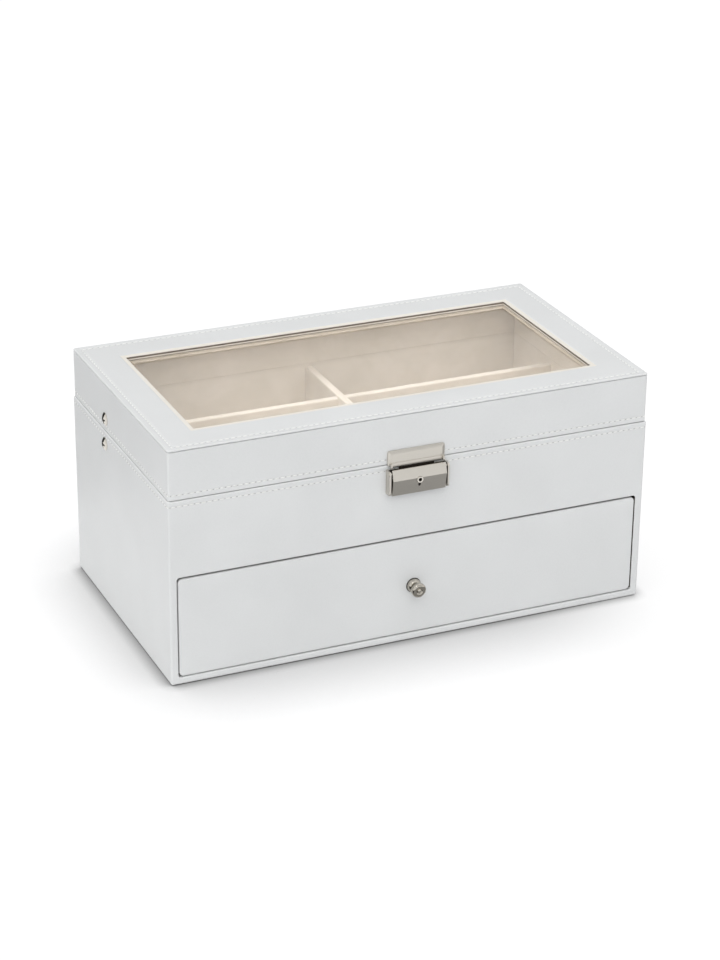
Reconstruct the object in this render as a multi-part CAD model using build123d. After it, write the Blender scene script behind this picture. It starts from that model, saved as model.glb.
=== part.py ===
from build123d import *
import os
from math import atan2, cos, degrees, hypot, radians, sin

# Eyeglasses storage box: a lined tray under a framed glass lid, over a divided drawer.
# Millimetres, +X right, +Y to the back, +Z up. The front of the box faces -Y.

# Smallest length that counts, for picking edges by their place
SAME = 0.01

# Overall sizes of the box
WIDTH = 330.0
DEPTH = 183.0
HEIGHT = 160.0
LID_HEIGHT = 33.4
SEAM_GAP = 0.6
LID_INSET = 0.65
CORNER_R = 1.5

# Boards, leather skin and linings
BOARD = 4.0
SKIN = 1.0
SKIN_EDGE_R = 0.7
LINING = 4.0
LINING_DROP = 0.6
FELT = 1.0
FELT_INSET = 2.0
SKIN_FOOT = 0.3
DECK = 3.0
FLOOR_LINING = 1.5

# Framed glass in the lid
BORDER = 25.0
TOP_FRAME = 3.0
TOP_EDGE_R = 1.3
FRAME_FOOT_R = 0.6
GLASS = 2.0
GLASS_LAP = 5.0
GLASS_CLEAR = 0.1
RETAINER = 4.5
RETAINER_LIP = 2.5

# Drawer and its opening
OPENING_HEIGHT = 69.2
FRONT_GAP_SIDE = 1.0
FRONT_GAP_TOP = 1.2
FRONT_GAP_FOOT = 0.7
FRONT_THICK = 6.0
FRONT_CORNER_R = 3.5
FRONT_EDGE_R = 0.9
DRAWER_SIDE_HEIGHT = 60.0
DRAWER_BACK_GAP = 2.0
SLIDE_CLEAR = 0.3
DRAWER_FLOOR = 3.0

# Dividers: two columns and three rows in the tray and in the drawer
DIVIDER = 5.0
ROWS = 3
LONG_DROP = 2.0
CROSS_DROP = 3.6
LAP_CLEAR = 0.05
DIVIDER_EDGE_R = 1.0

# Turned knob
KNOB_BASE_R = 4.5
KNOB_NECK_R = 2.4
KNOB_HEAD_R = 4.9
KNOB_REACH = 10.3
KNOB_HEAD = 4.0
KNOB_BOSS_R = 1.5
KNOB_FOOT_EDGE = 0.9
KNOB_FLARE = 2.8
KNOB_RIM = 0.8
KNOB_DISH = 0.7
KNOB_BORE_DEPTH = 7.0
KNOB_SCREW_R = 1.5
KNOB_SCREW_HEAD_R = 3.2
KNOB_SCREW_HEAD = 1.6

# Butt hinges let into the rims
HINGE_X = 105.0
HINGE_LENGTH = 30.0
HINGE_BARREL_R = 2.2
HINGE_OFFSET = 2.4
HINGE_PIN_R = 0.9
HINGE_PIN_SEAT = 0.02
HINGE_RUNNING = 0.05
LEAF = 0.7
LEAF_GAP = 0.1
LEAF_DEPTH = 8.0
KNUCKLE_GAP = 0.2
HINGE_SCREW_X = 9.0
HINGE_SCREW_R = 1.0
HINGE_SCREW_HEAD_R = 1.6
HINGE_SCREW_LENGTH = 9.0
SCREW_CLEAR = 0.05

# Elbow stay at the left side of the lid
STAY_BACK = 65.0
STAY_RISE = 8.6
STAY_WIDTH = 7.2
STAY_THICK = 1.2
STAY_SIDE_GAP = 0.3
STAY_LAYER_GAP = 0.2
POST_R = 2.0
POST_CLEAR = 0.05
DOME_R = 4.35
DOME = 2.0
DOME_EDGE = 0.4
DOME_SLOT = 0.9
DOME_SLOT_DEPTH = 0.7
POST_HEAD_R = 3.4
POST_HEAD = 1.0
ELBOW_R = 1.8
ELBOW_HEAD_R = 3.2
ELBOW_HEAD = 0.9
ELBOW_OPEN_CLEAR = 0.3
LID_OPEN_DEGREES = 95.0
STOP_REACH = 8.0
STOP_R = 1.3
STOP_CLEAR = 0.15
STOP_TAIL = 4.4
RELIEF_WIDTH = 4.5
RELIEF_MARGIN = 1.2

# Flap lock on the front
LOCK_WIDTH = 41.2
LOCK_PLATE = 0.8
LOCK_TOP = 2.4
LOCK_FOOT = 18.9
EAR = 1.2
EAR_R = 1.9
EAR_FOOT = 16.6
PIVOT_OUT = 4.4
PIVOT_DOWN = 4.0
PIVOT_R = 0.75
PIVOT_HEAD_R = 1.2
PIVOT_HEAD = 0.4
PIVOT_RUNNING = 0.05
KNUCKLE_R = 1.5
FLAP_SIDE_GAP = 0.9
FLAP_SHEET = 1.0
FLAP_TOP = 1.5
FLAP_TOP_OUT = 5.3
RIDGE_OUT = 7.2
RIDGE_DOWN = 8.1
FLAP_FOOT_OUT = 5.4
CHEEK_BACK = 1.3
CHEEK_TOP = 6.0
CHEEK_STEP = 2.0
WEB_OUT = 2.6
WEB_TOP = 6.4
WEB_FOOT = 15.5
LID_PLATE_WIDTH = 39.3
LID_PLATE = 1.9
LID_PLATE_DROP = 0.4
LID_PLATE_TOP = 10.4
LID_PLATE_CORNER = 1.5
LID_PLATE_BEVEL = 2.0
LID_PLATE_BEVEL_DEPTH = 0.8
TONGUE_BACK = 0.9
TONGUE = 0.8
LIP_WIDTH = 34.6
LIP_DOWN = 1.0
HOOK = 1.2
HOOK_OUT = 3.6
HOOK_R = 0.7
PRONG_WIDTH = 24.0
NOTCH_WIDTH = 13.0
NOTCH_TOP = 3.6
BARB_REACH = 3.2
BARB = 1.4
BARREL_DOWN = 9.6
BARREL_R = 2.15
BARREL_BORE_R = 1.15
BARREL_BORE = 3.0
BARREL_PROUD = 0.1
BARREL_FLANGE_R = 3.0
BARREL_FLANGE = 0.8
BARREL_STEM_R = 1.3
BARREL_RUNNING = 0.05
KEY_SLOT = 1.6
KEY_SLOT_DOWN = 4.6
CAM_WIDTH = 2.6
CAM_REACH = 5.4
CAM_TO_BARB = 0.5
CAM_GAP = 0.2
RIVET_R = 1.2
RIVET_HEAD_R = 2.2
RIVET_HEAD = 0.8
RIVET_FRONT_HEAD_R = 1.4
RIVET_FRONT_HEAD = 0.5
BASE_RIVET_X = 15.0
BASE_RIVET_DOWN = 12.0
LID_RIVET_X = 14.0
LID_RIVET_UP = 6.0
RIVET_CLEAR = 0.05

# Places worked out from the sizes
WALL = SKIN + BOARD
FRONT = -DEPTH / 2
BACK = DEPTH / 2
SIDE = WIDTH / 2
SEAM = HEIGHT - LID_HEIGHT - SEAM_GAP
LID_FOOT = SEAM + SEAM_GAP
LID_SIDE = SIDE - LID_INSET
LID_FRONT = FRONT + LID_INSET
LID_BACK = BACK - LID_INSET
CARCASS_X = SIDE - WALL
CARCASS_FRONT = FRONT + WALL
CARCASS_BACK = BACK - WALL
FLOOR_TOP = FELT + BOARD
OPENING_TOP = FLOOR_TOP + OPENING_HEIGHT
TRAY_X = CARCASS_X - LINING
TRAY_FRONT = CARCASS_FRONT + LINING
TRAY_BACK = CARCASS_BACK - LINING
TRAY_FLOOR = OPENING_TOP + DECK + FLOOR_LINING
LID_WALL_TOP = HEIGHT - TOP_FRAME
GLASS_FOOT = LID_WALL_TOP - GLASS
RETAINER_FOOT = LID_WALL_TOP - RETAINER
WINDOW_X = SIDE - BORDER
WINDOW_Y = BACK - BORDER

AXIS_Y = BACK + HINGE_OFFSET
AXIS_Z = SEAM + SEAM_GAP / 2
STAY_Y = BACK - STAY_BACK
STAY_RUN = AXIS_Y - STAY_Y
STAY_LENGTH = hypot(STAY_RUN, STAY_RISE)
ELBOW_Y = STAY_Y - STAY_RUN
STAY_SLOPE = degrees(atan2(STAY_RISE, STAY_RUN))
LOWER_LINK_X = TRAY_X - STAY_SIDE_GAP
UPPER_LINK_X = LOWER_LINK_X - STAY_THICK - STAY_LAYER_GAP

DRAWER_X = CARCASS_X - FRONT_GAP_SIDE
DRAWER_FRONT_BACK = FRONT + FRONT_THICK
DRAWER_BACK = CARCASS_BACK - DRAWER_BACK_GAP
DRAWER_FOOT = FLOOR_TOP + SLIDE_CLEAR
DRAWER_SIDE_TOP = DRAWER_FOOT + DRAWER_SIDE_HEIGHT
DRAWER_INNER_FLOOR = DRAWER_FOOT + DRAWER_FLOOR + FLOOR_LINING
FRONT_PANEL_FOOT = FLOOR_TOP + FRONT_GAP_FOOT
FRONT_PANEL_TOP = OPENING_TOP - FRONT_GAP_TOP
KNOB_Z = (FRONT_PANEL_FOOT + FRONT_PANEL_TOP) / 2

PIVOT_Y = FRONT - PIVOT_OUT
PIVOT_Z = SEAM - PIVOT_DOWN
BARREL_Z = SEAM - BARREL_DOWN
TONGUE_Y = FRONT - TONGUE_BACK
WEB_FRONT = FRONT - WEB_OUT - FLAP_SHEET
FLAP_WIDTH = LOCK_WIDTH - 2 * (EAR + FLAP_SIDE_GAP)
TONGUE_FOOT = BARREL_Z - CAM_WIDTH / 2 - CAM_TO_BARB - BARB

# The origin stands under the middle of the whole object, stay domes, knob and hinge barrels included
ORIGIN_X = -DOME / 2
ORIGIN_Y = ((FRONT - KNOB_REACH) + (AXIS_Y + HINGE_BARREL_R)) / 2


def block(x0, x1, y0, y1, z0, z1):
    """A board between two X, two Y and two Z planes."""
    middle = Pos((x0 + x1) / 2, (y0 + y1) / 2, (z0 + z1) / 2)
    return middle * Box(x1 - x0, y1 - y0, z1 - z0)


def rod_x(radius, x0, x1, y, z):
    return Pos((x0 + x1) / 2, y, z) * Rot(0, 90, 0) * Cylinder(radius, abs(x1 - x0))


def rod_y(radius, y0, y1, x, z):
    return Pos(x, (y0 + y1) / 2, z) * Rot(90, 0, 0) * Cylinder(radius, abs(y1 - y0))


def rod_z(radius, z0, z1, x, y):
    return Pos(x, y, (z0 + z1) / 2) * Cylinder(radius, abs(z1 - z0))


def mirrored(shape):
    """The same piece on the other side of the box."""
    return mirror(shape, about=Plane.YZ)


def cut_all(shape, tools):
    """The shape with every tool taken away."""
    for tool in tools:
        shape = shape - tool
    return shape


def group(shapes):
    """Separate solids of one kind that share a node."""
    return Compound([solid for shape in shapes for solid in shape.solids()])


def prism_x(points, x0, x1):
    """A plate whose outline lies in the YZ plane, from x0 to x1."""
    outline = Plane.YZ * make_face(Polyline(*points, close=True))
    return Pos(x0, 0, 0) * extrude(outline, x1 - x0)


def edges_along(shape, axis):
    return shape.edges().filter_by(axis)


def corner_edges(shape, x, y):
    """The upright edges at the four outer corners."""
    def wanted(edge):
        at = edge.center()
        return abs(abs(at.X) - x) < SAME and abs(abs(at.Y) - y) < SAME
    return edges_along(shape, Axis.Z).filter_by(wanted)


def flat_edges(shape, z, x, y):
    """The edges at height z that run along the sides x and y away from the middle."""
    def wanted(edge):
        at = edge.center()
        beside = abs(abs(at.X) - x) < SAME or abs(abs(at.Y) - y) < SAME
        return beside and abs(at.Z - z) < SAME
    return shape.edges().filter_by(wanted)


# Holes and recesses that several pieces share

def stay_post_hole(z):
    """Hole of a stay post at height z, through the left wall and its lining."""
    return rod_x(POST_R + POST_CLEAR, -SIDE - SKIN, -TRAY_X + SKIN, STAY_Y, z)


def hinge_screw_places():
    return [(side * HINGE_X + step, AXIS_Y - LEAF_DEPTH + BOARD / 2)
            for side in (-1, 1) for step in (-HINGE_SCREW_X, HINGE_SCREW_X)]


def hinge_screw_holes(z0, z1):
    return [rod_z(HINGE_SCREW_R + SCREW_CLEAR, z0, z1, x, y) for x, y in hinge_screw_places()]


def leaf_pockets(z0, z1):
    """The shallow pockets that take the hinge leaves."""
    half = HINGE_LENGTH / 2 + KNUCKLE_GAP
    return [block(x - half, x + half, TRAY_BACK - LINING, BACK + SKIN, z0, z1)
            for x in (-HINGE_X, HINGE_X)]


def rivet_holes(x, z):
    return [rod_y(RIVET_R + RIVET_CLEAR, FRONT - LOCK_PLATE - SKIN, TRAY_FRONT + SKIN, side * x, z)
            for side in (-1, 1)]


def rivets(x, z, y0, front_head):
    """Two rivets from y0 through the front wall, headed inside and, if asked, outside."""
    made = []
    for side in (-1, 1):
        rivet = rod_y(RIVET_R, y0, TRAY_FRONT, side * x, z)
        rivet += rod_y(RIVET_HEAD_R, TRAY_FRONT, TRAY_FRONT + RIVET_HEAD, side * x, z)
        if front_head:
            rivet += rod_y(RIVET_FRONT_HEAD_R, y0 - RIVET_FRONT_HEAD, y0, side * x, z)
        made.append(rivet)
    return group(made)


# Base

def base_skin():
    """One leather skin round the base, over the rim and round the drawer opening."""
    skin = block(-SIDE, SIDE, FRONT, BACK, SKIN_FOOT, SEAM)
    skin = fillet(edges_along(skin, Axis.Z), CORNER_R)
    skin = fillet(skin.faces().sort_by(Axis.Z)[-1].edges(), SKIN_EDGE_R)
    skin -= block(-SIDE + SKIN, SIDE - SKIN, FRONT + SKIN, BACK - SKIN, -SKIN, SEAM - SKIN)
    skin -= block(-CARCASS_X, CARCASS_X, CARCASS_FRONT, CARCASS_BACK, 0, SEAM + SKIN)
    skin -= block(-CARCASS_X, CARCASS_X, FRONT - SKIN, CARCASS_FRONT, FLOOR_TOP, OPENING_TOP)
    tools = [stay_post_hole(AXIS_Z - STAY_RISE)] + rivet_holes(BASE_RIVET_X, SEAM - BASE_RIVET_DOWN)
    tools += leaf_pockets(AXIS_Z - LEAF_GAP - LEAF, SEAM + SKIN)
    tools += hinge_screw_holes(SEAM - HINGE_SCREW_LENGTH, SEAM)
    return cut_all(skin, tools)


def base_boards():
    front, back, top = FRONT + SKIN, BACK - SKIN, SEAM - SKIN
    bottom = block(-SIDE + SKIN, SIDE - SKIN, front, back, FELT, FLOOR_TOP)
    right = block(CARCASS_X, SIDE - SKIN, front, back, FLOOR_TOP, top)
    left = mirrored(right) - stay_post_hole(AXIS_Z - STAY_RISE)
    rear = block(-CARCASS_X, CARCASS_X, CARCASS_BACK, back, FLOOR_TOP, top)
    rear = cut_all(rear, hinge_screw_holes(SEAM - HINGE_SCREW_LENGTH, SEAM))
    rail = block(-CARCASS_X, CARCASS_X, front, CARCASS_FRONT, OPENING_TOP, top)
    rail = cut_all(rail, rivet_holes(BASE_RIVET_X, SEAM - BASE_RIVET_DOWN))
    deck = block(-CARCASS_X, CARCASS_X, CARCASS_FRONT, CARCASS_BACK, OPENING_TOP, OPENING_TOP + DECK)
    return {"base_bottom_board": bottom, "base_right_board": right, "base_left_board": left,
            "base_back_board": rear, "base_front_rail": rail, "tray_deck": deck}


def base_felt():
    felt = block(-SIDE + FELT_INSET, SIDE - FELT_INSET, FRONT + FELT_INSET, BACK - FELT_INSET, 0, FELT)
    return fillet(edges_along(felt, Axis.Z), FELT_INSET)


def tray_linings():
    """Suede-covered boards that line the tray's floor and its four walls."""
    top = SEAM - LINING_DROP
    floor = block(-CARCASS_X, CARCASS_X, CARCASS_FRONT, CARCASS_BACK, OPENING_TOP + DECK, TRAY_FLOOR)
    right = block(TRAY_X, CARCASS_X, CARCASS_FRONT, CARCASS_BACK, TRAY_FLOOR, top)
    left = mirrored(right) - stay_post_hole(AXIS_Z - STAY_RISE)
    front = block(-TRAY_X, TRAY_X, CARCASS_FRONT, TRAY_FRONT, TRAY_FLOOR, top)
    front = cut_all(front, rivet_holes(BASE_RIVET_X, SEAM - BASE_RIVET_DOWN))
    back = block(-TRAY_X, TRAY_X, TRAY_BACK, CARCASS_BACK, TRAY_FLOOR, top)
    return {"tray_floor_lining": floor, "tray_right_lining": right, "tray_left_lining": left,
            "tray_front_lining": front, "tray_back_lining": back}


def divider_centres(y0, y1):
    """The middles of the cross dividers that share out the length from y0 to y1."""
    row = (y1 - y0 - (ROWS - 1) * DIVIDER) / ROWS
    return [y0 + n * row + (n - 0.5) * DIVIDER for n in range(1, ROWS)]


def dividers(half_width, y0, y1, z0, rim):
    """One long divider and its cross dividers, halved into each other."""
    long_top, cross_top = rim - LONG_DROP, rim - CROSS_DROP
    lap = (z0 + cross_top) / 2
    slot = DIVIDER / 2 + LAP_CLEAR
    long_board = block(-DIVIDER / 2, DIVIDER / 2, y0, y1, z0, long_top)
    long_board = fillet(long_board.faces().sort_by(Axis.Z)[-1].edges().filter_by(Axis.Y), DIVIDER_EDGE_R)
    crosses = []
    for y in divider_centres(y0, y1):
        long_board -= block(-DIVIDER, DIVIDER, y - slot, y + slot, z0, lap + LAP_CLEAR)
        cross = block(-half_width, half_width, y - DIVIDER / 2, y + DIVIDER / 2, z0, cross_top)
        cross = fillet(cross.faces().sort_by(Axis.Z)[-1].edges().filter_by(Axis.X), DIVIDER_EDGE_R)
        notch = block(-slot, slot, y - DIVIDER, y + DIVIDER, lap - LAP_CLEAR, cross_top + DIVIDER)
        crosses.append(cross - notch)
    return long_board, crosses


def tray_dividers():
    """The tray's dividers, with their upper left ends cut back beside the folded stay."""
    long_board, crosses = dividers(TRAY_X, TRAY_FRONT, TRAY_BACK, TRAY_FLOOR, SEAM)
    relief_foot = AXIS_Z - STAY_RISE - STAY_WIDTH / 2 - RELIEF_MARGIN
    relief = block(-TRAY_X - SKIN, -TRAY_X + RELIEF_WIDTH, TRAY_FRONT, TRAY_BACK, relief_foot, SEAM)
    front, rear = [cross - relief for cross in crosses]
    return {"tray_long_divider": long_board, "tray_front_cross_divider": front,
            "tray_rear_cross_divider": rear}


# Lid

def lid_skin():
    """One leather skin round the lid's four walls and under their rim."""
    skin = block(-LID_SIDE, LID_SIDE, LID_FRONT, LID_BACK, LID_FOOT, LID_WALL_TOP)
    skin = fillet(edges_along(skin, Axis.Z), CORNER_R)
    skin = fillet(skin.faces().sort_by(Axis.Z)[0].edges(), SKIN_EDGE_R)
    skin -= block(-LID_SIDE + SKIN, LID_SIDE - SKIN, LID_FRONT + SKIN, LID_BACK - SKIN,
                  LID_FOOT + SKIN, HEIGHT)
    inner_x = LID_SIDE - WALL
    skin -= block(-inner_x, inner_x, LID_FRONT + WALL, LID_BACK - WALL, SEAM, HEIGHT)
    tools = [stay_post_hole(AXIS_Z + STAY_RISE)] + rivet_holes(LID_RIVET_X, LID_FOOT + LID_RIVET_UP)
    tools += leaf_pockets(SEAM, AXIS_Z + LEAF_GAP + LEAF)
    tools += hinge_screw_holes(LID_FOOT, LID_FOOT + HINGE_SCREW_LENGTH)
    return cut_all(skin, tools)


def lid_boards():
    inner_x, outer_x = LID_SIDE - WALL, LID_SIDE - SKIN
    front_in, back_in = LID_FRONT + WALL, LID_BACK - WALL
    foot, top = LID_FOOT + SKIN, LID_WALL_TOP
    right = block(inner_x, outer_x, LID_FRONT + SKIN, LID_BACK - SKIN, foot, top)
    left = mirrored(right) - stay_post_hole(AXIS_Z + STAY_RISE)
    front = block(-inner_x, inner_x, LID_FRONT + SKIN, front_in, foot, top)
    front = cut_all(front, rivet_holes(LID_RIVET_X, LID_FOOT + LID_RIVET_UP))
    back = block(-inner_x, inner_x, back_in, LID_BACK - SKIN, foot, top)
    back = cut_all(back, hinge_screw_holes(LID_FOOT, LID_FOOT + HINGE_SCREW_LENGTH))
    return {"lid_right_board": right, "lid_left_board": left,
            "lid_front_board": front, "lid_back_board": back}


def lid_linings():
    inner_x, front_in, back_in = LID_SIDE - WALL, LID_FRONT + WALL, LID_BACK - WALL
    foot, top = LID_FOOT + LINING_DROP, RETAINER_FOOT
    right = block(TRAY_X, inner_x, front_in, back_in, foot, top)
    left = mirrored(right) - stay_post_hole(AXIS_Z + STAY_RISE)
    front = block(-TRAY_X, TRAY_X, front_in, TRAY_FRONT, foot, top)
    front = cut_all(front, rivet_holes(LID_RIVET_X, LID_FOOT + LID_RIVET_UP))
    back = block(-TRAY_X, TRAY_X, TRAY_BACK, back_in, foot, top)
    return {"lid_right_lining": right, "lid_left_lining": left,
            "lid_front_lining": front, "lid_back_lining": back}


def lid_top_frame():
    """The padded leather frame round the window, with rolled edges."""
    frame = block(-LID_SIDE, LID_SIDE, LID_FRONT, LID_BACK, LID_WALL_TOP, HEIGHT)
    frame -= block(-WINDOW_X, WINDOW_X, -WINDOW_Y, WINDOW_Y, LID_WALL_TOP, HEIGHT)
    frame = fillet(corner_edges(frame, LID_SIDE, LID_BACK), CORNER_R)
    frame = fillet(flat_edges(frame, LID_WALL_TOP, LID_SIDE, LID_BACK), FRAME_FOOT_R)
    frame = fillet(frame.faces().sort_by(Axis.Z)[-1].edges(), TOP_EDGE_R)
    return frame


def glass_pane():
    half_x, half_y = WINDOW_X + GLASS_LAP, WINDOW_Y + GLASS_LAP
    return block(-half_x, half_x, -half_y, half_y, GLASS_FOOT, LID_WALL_TOP)


def glass_retainer():
    """The lined frame under the glass, rebated for the pane and showing as a lip inside the window."""
    inner_x, inner_y = LID_SIDE - WALL, LID_BACK - WALL
    lip_x, lip_y = WINDOW_X - RETAINER_LIP, WINDOW_Y - RETAINER_LIP
    pane_x, pane_y = WINDOW_X + GLASS_LAP + GLASS_CLEAR, WINDOW_Y + GLASS_LAP + GLASS_CLEAR
    retainer = block(-inner_x, inner_x, -inner_y, inner_y, RETAINER_FOOT, LID_WALL_TOP)
    retainer -= block(-lip_x, lip_x, -lip_y, lip_y, RETAINER_FOOT, LID_WALL_TOP)
    return retainer - block(-pane_x, pane_x, -pane_y, pane_y, GLASS_FOOT, HEIGHT)


# Drawer

def drawer_front():
    """The padded front panel, with round corners and a soft edge."""
    panel = block(-DRAWER_X, DRAWER_X, FRONT, DRAWER_FRONT_BACK, FRONT_PANEL_FOOT, FRONT_PANEL_TOP)
    panel = fillet(edges_along(panel, Axis.Y), FRONT_CORNER_R)
    panel = fillet(panel.faces().sort_by(Axis.Y)[0].edges(), FRONT_EDGE_R)
    return panel - rod_y(KNOB_SCREW_R + SCREW_CLEAR, FRONT - SKIN, DRAWER_FRONT_BACK + SKIN,
                         0, KNOB_Z)


def drawer_box():
    """The four boards and the floor behind the drawer's front panel."""
    inner_x = DRAWER_X - BOARD
    right = block(inner_x, DRAWER_X, DRAWER_FRONT_BACK, DRAWER_BACK, DRAWER_FOOT, DRAWER_SIDE_TOP)
    right = fillet(right.faces().sort_by(Axis.Z)[-1].edges().filter_by(Axis.Y), DIVIDER_EDGE_R)
    back = block(-inner_x, inner_x, DRAWER_BACK - BOARD, DRAWER_BACK, DRAWER_FOOT, DRAWER_SIDE_TOP)
    y0, y1, floor_top = DRAWER_FRONT_BACK, DRAWER_BACK - BOARD, DRAWER_FOOT + DRAWER_FLOOR
    floor = block(-inner_x, inner_x, y0, y1, DRAWER_FOOT, floor_top)
    lining = block(-inner_x, inner_x, y0, y1, floor_top, DRAWER_INNER_FLOOR)
    long_board, crosses = dividers(inner_x, y0, y1, DRAWER_INNER_FLOOR, DRAWER_SIDE_TOP)
    long_board -= rod_y(KNOB_SCREW_HEAD_R + LAP_CLEAR, y0, y0 + KNOB_SCREW_HEAD + LAP_CLEAR, 0, KNOB_Z)
    return {"drawer_right_side": right, "drawer_left_side": mirrored(right), "drawer_back": back,
            "drawer_floor": floor, "drawer_floor_lining": lining, "drawer_long_divider": long_board,
            "drawer_front_cross_divider": crosses[0], "drawer_rear_cross_divider": crosses[1]}


def drawer_knob():
    """A turned knob: flared foot, slim neck and a dished head with a boss in the middle."""
    swell_foot = KNOB_REACH - KNOB_HEAD - KNOB_RIM
    swell_top = KNOB_REACH - KNOB_HEAD + KNOB_RIM
    face_y, dish_y, boss_y = KNOB_REACH, KNOB_REACH - KNOB_DISH, KNOB_REACH - KNOB_DISH / 2
    foot = Polyline((0, 0), (KNOB_BASE_R, 0), (KNOB_BASE_R, KNOB_FOOT_EDGE))
    flare = RadiusArc((KNOB_BASE_R, KNOB_FOOT_EDGE), (KNOB_NECK_R, KNOB_FLARE), -KNOB_FLARE)
    neck = Polyline((KNOB_NECK_R, KNOB_FLARE), (KNOB_NECK_R, swell_foot), (KNOB_HEAD_R, swell_top),
                    (KNOB_HEAD_R, face_y - KNOB_RIM))
    roll = RadiusArc((KNOB_HEAD_R, face_y - KNOB_RIM), (KNOB_HEAD_R - KNOB_RIM, face_y), KNOB_RIM)
    face = Polyline((KNOB_HEAD_R - KNOB_RIM, face_y), (KNOB_HEAD_R - 2 * KNOB_RIM, dish_y),
                    (KNOB_BOSS_R + KNOB_RIM, dish_y), (KNOB_BOSS_R, boss_y), (0, boss_y), (0, 0))
    profile = make_face(foot + flare + neck + roll + face)
    knob = Pos(0, FRONT, KNOB_Z) * Rot(0, 0, 180) * revolve(profile, Axis.Y)
    return knob - rod_y(KNOB_SCREW_R + SCREW_CLEAR, FRONT - KNOB_BORE_DEPTH, FRONT + SKIN, 0, KNOB_Z)


def knob_screw():
    seat = DRAWER_FRONT_BACK
    screw = rod_y(KNOB_SCREW_R, FRONT - KNOB_BORE_DEPTH + SKIN, seat, 0, KNOB_Z)
    return screw + rod_y(KNOB_SCREW_HEAD_R, seat, seat + KNOB_SCREW_HEAD, 0, KNOB_Z)


# Hinges

def hinge_leaf(x, knuckle_spans, z0, bore_r):
    """A leaf let into a rim, with the given knuckles round the hinge axis."""
    half = HINGE_LENGTH / 2
    leaf = block(x - half, x + half, AXIS_Y - LEAF_DEPTH - HINGE_OFFSET, AXIS_Y, z0, z0 + LEAF)
    leaf -= rod_x(HINGE_BARREL_R + KNUCKLE_GAP, x - half - SKIN, x + half + SKIN, AXIS_Y, AXIS_Z)
    for low, high in knuckle_spans:
        root = block(x + low, x + high, AXIS_Y - HINGE_BARREL_R - KNUCKLE_GAP - LEAF, AXIS_Y, z0, z0 + LEAF)
        leaf = leaf + root + rod_x(HINGE_BARREL_R, x + low, x + high, AXIS_Y, AXIS_Z)
    leaf -= rod_x(bore_r, x - half - SKIN, x + half + SKIN, AXIS_Y, AXIS_Z)
    for hole_x, hole_y in hinge_screw_places():
        if abs(hole_x - x) < half:
            hole_r = HINGE_SCREW_HEAD_R + SCREW_CLEAR
            leaf -= rod_z(hole_r, z0 - LEAF, z0 + 2 * LEAF, hole_x, hole_y)
    return leaf


def hinge_leaves():
    """Base leaves carry the outer knuckles and lid leaves the middle one."""
    half, third = HINGE_LENGTH / 2, HINGE_LENGTH / 6
    outer = [(-half, -third - KNUCKLE_GAP / 2), (third + KNUCKLE_GAP / 2, half)]
    inner = [(-third + KNUCKLE_GAP / 2, third - KNUCKLE_GAP / 2)]
    base_z, lid_z = AXIS_Z - LEAF_GAP - LEAF, AXIS_Z + LEAF_GAP
    base = [hinge_leaf(x, outer, base_z, HINGE_PIN_R + HINGE_PIN_SEAT) for x in (-HINGE_X, HINGE_X)]
    lid = [hinge_leaf(x, inner, lid_z, HINGE_PIN_R + HINGE_RUNNING) for x in (-HINGE_X, HINGE_X)]
    return {"hinge_base_leaves": group(base), "hinge_lid_leaves": group(lid)}


def hinge_pins():
    half = HINGE_LENGTH / 2
    return group([rod_x(HINGE_PIN_R, x - half, x + half, AXIS_Y, AXIS_Z) for x in (-HINGE_X, HINGE_X)])


def hinge_screws(face_z, into):
    """Screws with flat heads in the leaf at face_z and shanks that run up or down into the board."""
    made = []
    under_head = face_z + into * LEAF
    for x, y in hinge_screw_places():
        head = rod_z(HINGE_SCREW_HEAD_R, face_z, under_head, x, y)
        made.append(head + rod_z(HINGE_SCREW_R, under_head, face_z + into * HINGE_SCREW_LENGTH, x, y))
    return group(made)


# Stay: its pieces are drawn at the right side and mirrored to the left by whole_box

def dome_head(x0):
    """The slotted dome of a stay post, seated on the leather at x0."""
    rise = DOME - DOME_EDGE
    edge = Polyline((x0, 0), (x0, DOME_R), (x0 + DOME_EDGE, DOME_R))
    crown = RadiusArc((x0 + DOME_EDGE, DOME_R), (x0 + DOME, 0), (DOME_R ** 2 + rise ** 2) / (2 * rise))
    dome = revolve(make_face(edge + crown + Line((x0 + DOME, 0), (x0, 0))), Axis.X)
    slot_foot = x0 + DOME - DOME_SLOT_DEPTH
    return dome - block(slot_foot, x0 + 2 * DOME, -DOME_R, DOME_R, -DOME_SLOT / 2, DOME_SLOT / 2)


def stay_post(z, skin_x, link_x, shoulder):
    """A binding post through the side wall at height z, carrying a link at link_x."""
    inner = link_x - STAY_THICK - STAY_LAYER_GAP
    post = Pos(0, STAY_Y, z) * dome_head(skin_x)
    post += rod_x(POST_R, inner, skin_x, STAY_Y, z)
    post += rod_x(POST_HEAD_R, inner - POST_HEAD, inner, STAY_Y, z)
    if shoulder:
        post += rod_x(POST_HEAD_R, link_x + STAY_LAYER_GAP, TRAY_X, STAY_Y, z)
    return post


def link_plate(y0, z0, y1, z1, x, width):
    """A flat link with round ends between two points, its outer face at x."""
    length = hypot(y1 - y0, z1 - z0)
    turn = degrees(atan2(z1 - z0, y1 - y0))
    middle = Pos((y0 + y1) / 2, (z0 + z1) / 2) * Rot(0, 0, turn)
    outline = Plane.YZ * middle * SlotCenterToCenter(length, width)
    return Pos(x - STAY_THICK, 0, 0) * extrude(outline, STAY_THICK)


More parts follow.
